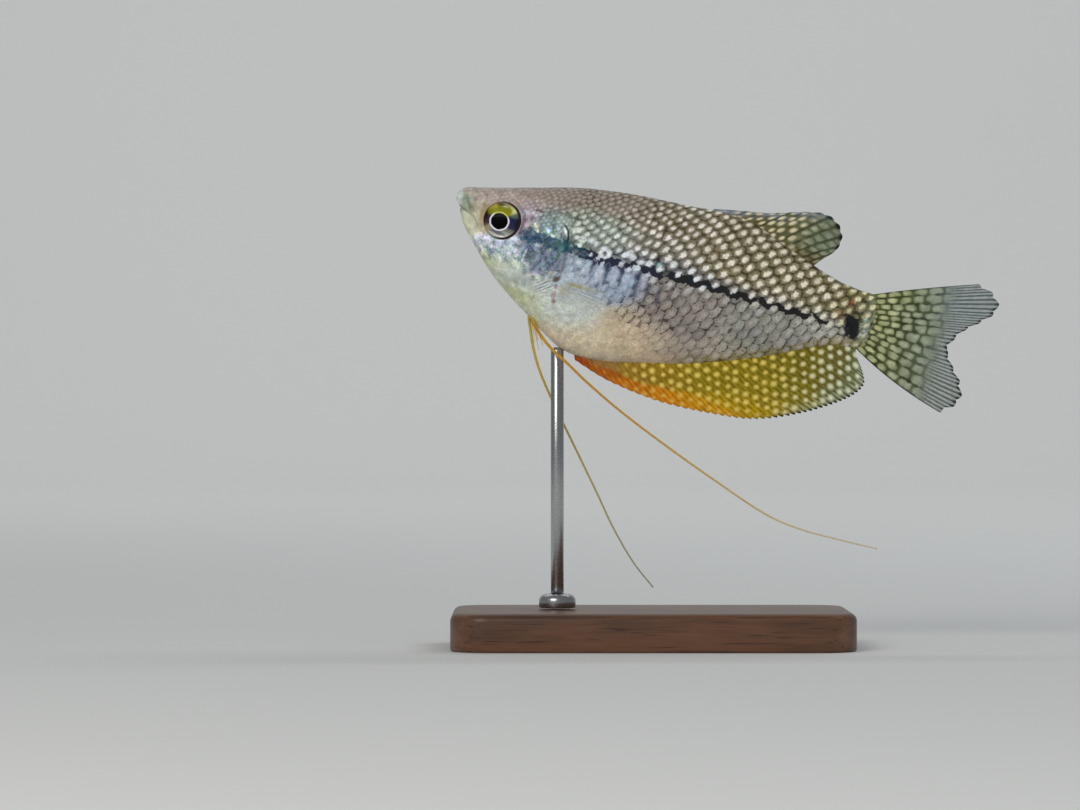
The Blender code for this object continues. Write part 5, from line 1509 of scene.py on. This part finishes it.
anal = fin_sheet(
    "fin_belly", ANAL_RAYS, 6, 46, anal_root, graded(ANAL_EDGE),
    tapered(1.3, 0.30), 0.22, amber_fin_material, paint_anal, notch=0.035, bow=0.03,
)
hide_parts("anal_fin")

# %% Tail fin
CAUDAL_EDGE = (
    (97.4, 14.4), (101.0, 13.2), (102.1, 10.6), (99.8, 7.8), (96.9, 5.0),
    (95.2, 1.4), (96.8, -1.4), (99.3, -4.4), (99.9, -7.6), (97.0, -10.4),
)
CAUDAL_RAYS = 13
caudal_line = smooth_path(CAUDAL_EDGE)
CELL_ENDS = (3.0, 5.0, 7.1, 9.3, 11.7, 14.3, 17.0, 19.8, 22.6, 25.4)  # where the columns of cells meet
CAUDAL_ZONES = (
    ("6e7444", 80.5, 2.0, 2.0, 6.0), ("6a7446", 84.0, 7.6, 3.0, 1.6), ("6c7449", 84.0, 2.0, 3.0, 4.0),
    ("6e7446", 84.0, -4.0, 3.0, 2.0), ("6f785a", 88.0, 3.0, 3.0, 5.0), ("717856", 88.0, -5.5, 3.0, 2.0),
    ("7f8b76", 91.5, 1.0, 2.4, 7.0), ("83908e", 96.0, 9.0, 4.0, 4.0), ("8d9894", 96.0, 1.0, 3.0, 4.0),
    ("8c948c", 96.0, -7.0, 3.0, 2.4),
)


def paint_caudal(aft, level, s, v, off_ray):
    """Pale cells in a dark net between the rays, clear and lined towards the edge."""
    field = spray(CAUDAL_ZONES, aft, level)
    reach = np.hypot(aft - 76.0, 0.75 * (level - 2.0))
    step = s * (CAUDAL_RAYS - 1)
    shift = 0.16 * ripple(aft, level, 3.0, 6.0) + 0.24 * np.sin(2.4 * np.floor(step * 0.9999))
    wander = 0.30 * ripple(aft, level, 1.5, 3.0)
    near_end = smooth(94.6, 90.4, aft + 1.2 * ripple(aft, level, 3.0))
    column = np.interp(reach, CELL_ENDS, np.arange(len(CELL_ENDS)))
    middle, net = ray_cells(column, np.clip(off_ray + wander, 0, 1), 1.0, shift)
    glow = (0.70 + 0.45 * ripple(aft, level, 2.4, 1.0)) * middle
    light = lay(linear("cacb98"), "a8b198", smooth(80, 90, aft))
    field = lay(field, light, np.clip(glow, 0, 1) * near_end * smooth(78.6, 79.6, aft))
    etched = (0.70 + 0.25 * ripple(aft, level, 2.6, 8.0)) * net * near_end * smooth(78.8, 80.4, aft)
    field = lay(field, "262c17", np.clip(etched, 0, 1))
    fork = np.abs((step * 3 + 0.5) % 1 - 0.5)
    ray = smooth(0.28, 0.10, fork + 0.05 * ripple(aft, level, 1.0)) * smooth(90.5, 95.0, aft)
    field = lay(field, "39443f", 0.75 * ray)
    last = smooth(CAUDAL_RAYS - 1.12, CAUDAL_RAYS - 1.04, step)
    edge = smooth(0.10, 0.03, step) * smooth(80, 84, aft) + 0.8 * last
    field = lay(field, "30342a", np.clip(edge, 0, 0.85))
    tip = smooth(0.955, 0.985, v) * smooth(0.42, 0.25, fork) * smooth(0.46, 0.34, np.abs(s - 0.56))
    field = lay(field, "121310", np.clip(0.9 * tip, 0, 1))
    glint = dots(aft, level, 0.8, 0.2, 0.30, 3.0) * smooth(80.6, 79.6, aft)
    glint = glint * smooth(-1.6, -0.6, level) * smooth(3.4, 2.4, level)
    field = lay(field, "a9d2d0", 0.8 * glint)
    clear = 0.55 * smooth(90.0, 95.5, aft) * (1 - ray) * (1 - np.clip(edge + tip, 0, 1))
    return {"field": field, "veil": 1 - clear - 0.08 * smooth(84, 90, aft) * middle}


caudal = fin_sheet(
    "fin_tail", CAUDAL_RAYS, 22, 96,
    lambda s: np.stack([78.4 + np.sin(np.pi * s), 6.9 - 10.0 * s], -1), lambda s: along(caudal_line, s),
    tapered(1.5, 0.26), 0.22, clear_fin_material, paint_caudal, notch=0.035, bow=lambda s: 0.045 * s - 0.01,
)
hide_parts("tail_fin")

# %% Side fins
PECTORAL_AFT, PECTORAL_LEVEL, PECTORAL_LENGTH, PECTORAL_ROOT = 22.9, -8.0, 9.6, 3.0
PECTORAL_SPREAD, PECTORAL_RISE, PECTORAL_ANGLE = math.radians(64.0), math.radians(-22.0), math.radians(15.0)
PECTORAL_SUNK = 0.9  # how far the root bends into the flank
PECTORAL_RAYS = 15


def pectoral_tip(s):
    turn = PECTORAL_RISE + PECTORAL_SPREAD * (0.5 - s)
    length = PECTORAL_LENGTH * (1 - 0.75 * np.abs(s - 0.15) ** 1.4)
    return np.stack([length * np.cos(turn), PECTORAL_ROOT * (0.5 - s) * 0.4 + length * np.sin(turn)], -1)


def pectoral_place(side):
    start = flank_spot(PECTORAL_AFT, PECTORAL_LEVEL, side)

    def place(flat, off):
        x, up = flat[..., 0], flat[..., 1]
        sunk = PECTORAL_SUNK * np.maximum(0.0, 1 - x / 2.5) ** 2
        cupped = 0.010 * np.minimum(up, 0) ** 2 - 0.16 * np.maximum(-up - 3.0, 0)
        out = x * math.sin(PECTORAL_ANGLE) + off - sunk + cupped
        return np.stack([start[0] + x * math.cos(PECTORAL_ANGLE), start[1] + side * out, start[2] + up], -1)

    return place


def paint_pectoral(aft, level, s, v, off_ray):
    """Clear film on fine pale rays, olive-yellow along the upper ones and at the root."""
    ray = smooth(0.45, 0.05, off_ray) * (0.75 + 0.35 * ripple(aft, level, 1.2))
    top = smooth(0.20, 0.04, s) + 0.5 * smooth(0.06, 0.01, np.abs(s - 0.30))
    pale = lay(linear("dde2d6"), "b3ab4e", top)
    field = lay(linear("c8cfc8"), pale, np.maximum(ray, top))
    root = smooth(0.42, 0.12, v)
    ochre = lay(linear("b0a468"), "a8807a", smooth(0.45, 0.8, s))
    field = lay(field, ochre, root)
    fade = smooth(1.0, 0.25, v)
    veil = 0.03 + ray * (0.14 + 0.50 * fade) + 0.34 * top * smooth(0.85, 0.20, v) + 0.12 * root
    veil = veil * smooth(0.08, 0.34, v) * smooth(0.0, 0.03, s)
    return {"field": field, "veil": np.clip(veil, 0, 1)}


pectoral_material = make_fin_material("fin_film_pale", 0.02)
for side, word in ((-1, "left"), (1, "right")):
    pectoral = fin_sheet(
        f"fin_side_{word}", PECTORAL_RAYS, 8, 34,
        lambda s: np.stack([-1.2 + 0 * s, PECTORAL_ROOT * (0.5 - s)], -1), pectoral_tip,
        lambda v: blend(0.55, 0.16, v), 0.20, pectoral_material, paint_pectoral, notch=0.05,
        place=pectoral_place(side),
    )
    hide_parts(f"pectoral_fin_{word}")

# %% [markdown]
# ## Feelers
# A gourami's pelvic fins are two long feelers, each one thread of a ray with
# a few short rays at its root. A cast uses wire drawn thin and sleeved in
# tinted silicone. The tubes here follow the solids' own curves, so they could
# be bent wires as well.

# %% Feeler tubes
def tube(path, radii, around=14):
    """Rings square to a path, as one closed grid with its faces and ends."""
    way = np.gradient(path, axis=0)
    way = way / np.linalg.norm(way, axis=1, keepdims=True)
    first = np.cross(way[0], (0.0, 0.0, 1.0))
    normals = [first / np.linalg.norm(first)]
    for here in way[1:]:
        kept = normals[-1] - here * here.dot(normals[-1])
        normals.append(kept / np.linalg.norm(kept))
    normals = np.array(normals)
    sideways = np.cross(way, normals)
    turn = full_turn(around)[None, :, None]
    outward = np.cos(turn) * normals[:, None] + np.sin(turn) * sideways[:, None]
    rings = path[:, None] + radii[:, None, None] * outward
    quad_i, quad_j = grid_corners(len(path) - 1, around)
    ring = np.arange(around)[None, :]
    faces = [quad_i * around + quad_j % around, ring, (len(path) - 1) * around + ring[:, ::-1]]
    uv = np.stack([quad_i / (len(path) - 1), quad_j / around], -1)
    return rings, faces, uv


FEELERS = {
    "left": (
        ((18.0, -0.8, -12.4), (19.9, -1.3, -14.8), (22.0, -2.0, -17.0), (24.8, -2.7, -19.0),
         (28.2, -3.3, -20.7), (32.7, -3.9, -23.1), (40.3, -4.5, -26.6), (50.4, -4.9, -30.5),
         (60.4, -5.1, -34.0), (70.4, -5.2, -37.2), (77.4, -5.2, -38.2), (85.4, -5.0, -38.1),
         (92.4, -4.8, -37.8)),
        ((23.0, -3.2, -18.9), (21.9, -3.0, -18.2)),
        ("b3a04a", "c48c22", "c08a2c", "c89e50", "ccb888", "cac2a6"),
    ),
    "right": (
        ((18.4, 0.8, -12.2), (19.2, 1.4, -14.8), (19.9, 1.9, -16.5), (21.5, 2.7, -19.9),
         (23.9, 3.5, -23.7), (28.2, 4.6, -28.9), (35.2, 6.0, -36.7), (40.1, 7.0, -42.2),
         (44.9, 8.0, -47.7), (50.2, 9.0, -52.8), (55.2, 9.8, -56.4)),
        ((22.4, 1.5, -19.7), (21.3, 1.2, -18.6)),
        ("b3a45a", "c2a94a", "c0a040", "b8a35a", "aaa072", "9f9c80"),
    ),
}


def make_feeler(word, material):
    """A feeler and its short rays, joined at the root."""
    route, ends, colours = FEELERS[word]
    path = smooth_path(route, 10)
    share = np.linspace(0, 1, len(path))
    start = path[5]
    tubes = [(path, blend(0.33, 0.13, share**0.8), 0.0, 0.6)]
    for n, end in enumerate(ends):
        out = np.linspace(0, 1, 14)[:, None]
        stub = start + (np.array(end) - start) * out + np.array([0.0, 0.0, 0.35]) * (4 * out * (1 - out))
        tubes.append((stub, blend(0.14, 0.04, out[:, 0]), 0.62 + 0.19 * n, 0.17))
    points, groups, bakes, tones = [], [], [], []
    tints = np.array([linear(code) for code in colours])
    for line, radii, low, wide in tubes:
        rings, faces, uv = tube(line, radii)
        offset = sum(len(p) for p in points)
        points.append(rings.reshape(-1, 3))
        groups += [face + offset for face in faces]
        corner = np.array([0.99, low + wide / 2])
        bakes.append(uv * (0.96, wide - 0.02) + (0.02, low + 0.01))
        bakes += [np.zeros((*face.shape, 2)) + corner for face in faces[1:]]
        reached = np.linspace(0, 1, len(line)) * (1.0 if line is path else 0.3)
        steps = np.linspace(0, 1, len(tints))
        tone = np.stack([np.interp(reached, steps, tints[:, k]) for k in range(3)], -1)
        tones.append(np.repeat(tone, rings.shape[1], 0))
    made = make_piece(
        f"feeler_{word}", placed(np.concatenate(points)), groups, material,
        {"field": np.concatenate(tones), "veil": np.ones(sum(len(p) for p in points))}, {"OFBake": bakes},
    )
    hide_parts(f"pelvic_fin_{word}")


feeler_material = make_fin_material("feeler_silicone_tinted", 0.03)
for word in FEELERS:
    make_feeler(word, feeler_material)

# %% [markdown]
# ## Stand
# The stand carries the fish and should not draw the eye: an oiled walnut
# block with eased edges, a ground stainless rod, and a turned collar at its
# foot. The rod and collar are turned shapes, a line swept round an axis. The
# block is rings of one rounded outline, drawn in at the bevel.

# %% Stand shapes
def turned(outline, middle, around=64):
    """A closed shape from (radius, height) pairs swept round an upright axis, in millimetres."""
    turn = full_turn(around)
    radius, height = np.array(outline, float).T[..., None]
    return np.stack([middle + radius * np.cos(turn), radius * np.sin(turn), height + 0 * turn], -1)


def close_grid(name, rings, material, slot, *nodes, ring=False):
    """A piece from rings of points; its first and last rings are capped, or joined if it is a ring."""
    rows, around = rings.shape[:2]
    quad_i, quad_j = grid_corners(rows if ring else rows - 1, around)
    faces = [(quad_i % rows) * around + quad_j % around]
    uv = [np.stack([quad_i / rows, quad_j / around], -1) * 0.70 + (0.01, 0.01)]
    if not ring:
        span = np.ptp(rings.reshape(-1, 3), axis=0).max()
        for row, corner in ((0, (0.74, 0.26)), (rows - 1, (0.74, 0.74))):
            order = np.arange(around)[None, :] if row == 0 else np.arange(around)[None, ::-1]
            flat = (rings[row][order[0]][:, :2] - rings[row][:, :2].mean(0)) / span
            faces.append(row * around + order)
            uv.append((flat * 0.24 + corner + (0.12, 0.0))[None])
    made = make_piece(name, rings * MM, faces, material, None, {"OFBake": uv})
    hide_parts(*nodes)


def walnut_rings(size, corner, bevel):
    """Rings of a rounded rectangle: a small chamfer below, a quarter round above."""
    quarter = np.linspace(0, np.pi / 2, 13)
    steps = [(0.6, 0.0), (0.15, 0.15), (0.0, 0.5), (0.0, size[2] - bevel)]
    for a in np.linspace(0, np.pi / 2, 9)[1:]:
        steps.append((bevel * (1 - math.cos(a)), size[2] - bevel * (1 - math.sin(a))))
    rings = []
    for inset, height in steps:
        radius = corner - inset
        outline = []
        for k, (sx, sy) in enumerate(((1, 1), (-1, 1), (-1, -1), (1, -1))):
            middle_x, middle_y = sx * (size[0] / 2 - corner), sy * (size[1] / 2 - corner)
            turn = quarter + k * np.pi / 2
            x, y = middle_x + radius * np.cos(turn), middle_y + radius * np.sin(turn)
            outline.append(np.stack([x, y, 0 * turn + height], -1))
        rings.append(np.concatenate(outline))
    return np.array(rings)


print("rings of the block:", walnut_rings((74.0, 44.0, 7.0), 7.0, 1.5).shape[:2])


# %% Stand finish
def make_walnut():
    """American walnut, sanded and oiled: dark streaks along the grain, fine pores, a soft sheen."""
    made, tree, shader = new_material(
        "walnut_oiled", Roughness=0.42, IOR=1.5, Coat_Weight=0.12, Coat_Roughness=0.35
    )
    place = add(tree, "TexCoord")["Object"]
    # the grain runs along the block, turned a little from its edges
    tilted = {"Scale": (0.10, 1.0, 1.0), "Rotation": (0.05, 0.03, 0.06)}
    drawn = add(tree, "Mapping", {"Vector": place, **tilted})[0]
    # a scale of 0.06 / MM is 0.06 waves to a millimetre, one in 17 mm
    wander = add(tree, "TexNoise", {"Vector": drawn, "Scale": 0.06 / MM, "Detail": 3.0})["Color"]
    bent = {0: wander, 1: (4 * MM, 4 * MM, 4 * MM), 2: drawn}
    bent = add(tree, "VectorMath", bent, operation="MULTIPLY_ADD")[0]
    streaks = {"Scale": 0.21 / MM, "Detail": 4.0, "Roughness": 0.65}
    grain = add(tree, "TexNoise", {"Vector": bent, **streaks})[0]
    grain = add(tree, "MapRange", {0: grain, 1: 0.36, 2: 0.64})[0]
    # walnut's pores are 0.1 to 0.2 mm wide; they are drawn near 0.4 mm, so that they can be seen
    long = add(tree, "Mapping", {"Vector": place, "Scale": (0.04, 1.0, 1.0)})[0]
    pores = add(tree, "TexNoise", {"Vector": long, "Scale": 2.6 / MM, "Detail": 2.0})[0]
    pores = add(tree, "MapRange", {0: pores, 1: 0.60, 2: 0.72})[0]
    wood = add(tree, "MixRGB", {0: grain, 1: rgba("4a2f1f"), 2: rgba("6f4a31")})[0]
    wood = add(tree, "MixRGB", {0: pores, 1: wood, 2: rgba("2c1a10")})[0]
    tree.links.new(wood, shader.inputs["Base Color"])
    bump = add(tree, "Bump", {"Height": pores, "Distance": 0.05 * MM, "Strength": 0.4}, invert=True)[0]
    tree.links.new(bump, shader.inputs["Normal"])
    return made


def make_steel():
    """Stainless steel, centreless ground: fine rings round the rod and a satin gloss."""
    made, tree, shader = new_material("stainless_ground", Metallic=1.0, Roughness=0.28)
    shader.inputs["Base Color"].default_value = rgba("b9bbbd")
    place = add(tree, "TexCoord")["Object"]
    # ground lines are near 0.01 mm; they are drawn six to a millimetre, so that they can be seen
    rings = add(tree, "Mapping", {"Vector": place, "Scale": (0.05, 0.05, 1.0)})[0]
    lines = add(tree, "TexNoise", {"Vector": rings, "Scale": 6 / MM, "Detail": 2.0})[0]
    rough = add(tree, "MapRange", {0: lines, 3: 0.20, 4: 0.36})[0]
    tree.links.new(rough, shader.inputs["Roughness"])
    return made


walnut, steel = make_walnut(), make_steel()

# %% Block, rod and collar
BASE, CORNER, BEVEL = (74.0, 44.0, 7.0), 7.0, 1.5
ROD_AFT, ROD_RADIUS, COLLAR_RADIUS = 25.6, 1.2, 3.4
rod_head = placed(np.array([ROD_AFT, 0.0, float(profile(np.array(ROD_AFT))[1])])) / MM
top, foot = rod_head[2], BASE[2] + 0.3
close_grid("base_block", walnut_rings(BASE, CORNER, BEVEL), walnut, "walnut", "stand_base")
rod_line = [
    (ROD_RADIUS - 0.2, foot), (ROD_RADIUS, foot + 0.2),
    (ROD_RADIUS, top - 0.6), (ROD_RADIUS - 0.5, top),
]
close_grid("rod", turned(rod_line, rod_head[0]), steel, "steel", "stand_rod")
bore, rim = ROD_RADIUS + 0.3, COLLAR_RADIUS
collar_line = [
    (bore, foot), (rim - 0.2, foot), (rim, foot + 0.2), (rim, foot + 1.5), (rim - 0.15, foot + 1.9),
    (rim - 0.6, foot + 2.4), (rim - 1.1, foot + 2.6), (bore + 0.15, foot + 2.6), (bore, foot + 2.45),
]
close_grid("collar", turned(collar_line, rod_head[0]), steel, "steel", "stand_collar", ring=True)
print("the rod meets the belly", round(top, 2), "mm above the table")

# %% [markdown]
# ## Stage, light and camera
# The model is photographed as in a catalogue: a pale sweep, a large soft
# light from the upper left, a wide low one in front that evens out the flank,
# a third behind for the far side, and one that lights the sweep. The camera
# stands square to the flank and frames the fish as the photo does.

# %% Stage
def make_stage():
    """A floor that sweeps up behind the model, in matt paper."""
    made, _, shader = new_material("paper_sweep", Roughness=0.9, Specular_IOR_Level=0.1)
    shader.inputs["Base Color"].default_value = rgba("e4e5e3")
    turn = np.linspace(0, np.pi / 2, 24)
    deep = np.concatenate([[-2.5], 1.7 + 0.6 * np.sin(turn), [2.3]])
    high = np.concatenate([[0.0], 0.6 * (1 - np.cos(turn)), [2.4]])
    points = np.stack([np.stack([np.full(len(deep), x), deep, high], -1) for x in (-3.0, 3.0)])
    faces = [(k, len(deep) + k, len(deep) + k + 1, k + 1) for k in range(len(deep) - 1)]
    mesh = bpy.data.meshes.new("sweep")
    mesh.from_pydata(points.reshape(-1, 3).tolist(), [], faces)
    mesh.materials.append(made)
    mesh.shade_smooth()
    floor = bpy.data.objects.new("sweep", mesh)
    bpy.context.scene.collection.objects.link(floor)
    floor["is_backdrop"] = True


def softbox(name, place, target, size, watts, colour):
    """A rectangular soft light that faces a target."""
    light = bpy.data.lights.new(name, "AREA")
    light.shape, light.size, light.size_y = "RECTANGLE", size[0], size[1]
    light.energy, light.color = watts, linear(colour)
    lamp = bpy.data.objects.new(name, light)
    lamp.location = place
    away = [p - t for p, t in zip(place, target)]
    flat = math.hypot(away[0], away[1])
    lamp.rotation_euler = (math.atan2(flat, away[2]), 0.0, math.atan2(away[1], away[0]) + math.pi / 2)
    bpy.context.scene.collection.objects.link(lamp)
    return lamp


make_stage()

# %% Lights
FISH = (0.01, 0.0, 0.06)
softbox("key", (-0.42, -0.78, 0.52), FISH, (0.45, 0.45), 3.2, "fffaf2")
softbox("front", (0.12, -1.00, 0.14), FISH, (1.1, 0.24), 3.4, "f6f8ff").visible_glossy = False
softbox("rear", (0.70, 0.45, 0.80), FISH, (0.5, 0.5), 2.2, "f6f8ff").visible_glossy = False
softbox("backdrop", (0.0, 1.10, 1.70), (0.0, 2.3, 0.20), (2.6, 0.5), 15.0, "ffffff")
world = bpy.data.worlds.new("room")
world.use_nodes = True
world.node_tree.nodes["Background"].inputs["Color"].default_value = rgba("dfe5ea")
world.node_tree.nodes["Background"].inputs["Strength"].default_value = 0.27
bpy.context.scene.world = world

# %% Camera
camera = bpy.data.cameras.new("camera")
camera.lens, camera.sensor_width = 162.16, 36.0
viewer = bpy.data.objects.new("camera", camera)
viewer.location = (-0.02066, -0.9, 0.0448)
viewer.rotation_euler = (math.pi / 2, 0.0, 0.0)
bpy.context.scene.collection.objects.link(viewer)
bpy.context.scene.camera = viewer
bpy.context.scene.view_settings.view_transform = "Standard"
bpy.context.scene.view_settings.look = "None"
print("camera", [round(v, 3) for v in viewer.location], "lens", camera.lens)

# %% Sizes
size = {"solids": [list(corner) for corner in solid_box], "model": [list(corner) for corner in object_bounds()]}
print("model box in metres:", [[round(v, 4) for v in corner] for corner in size["model"]])
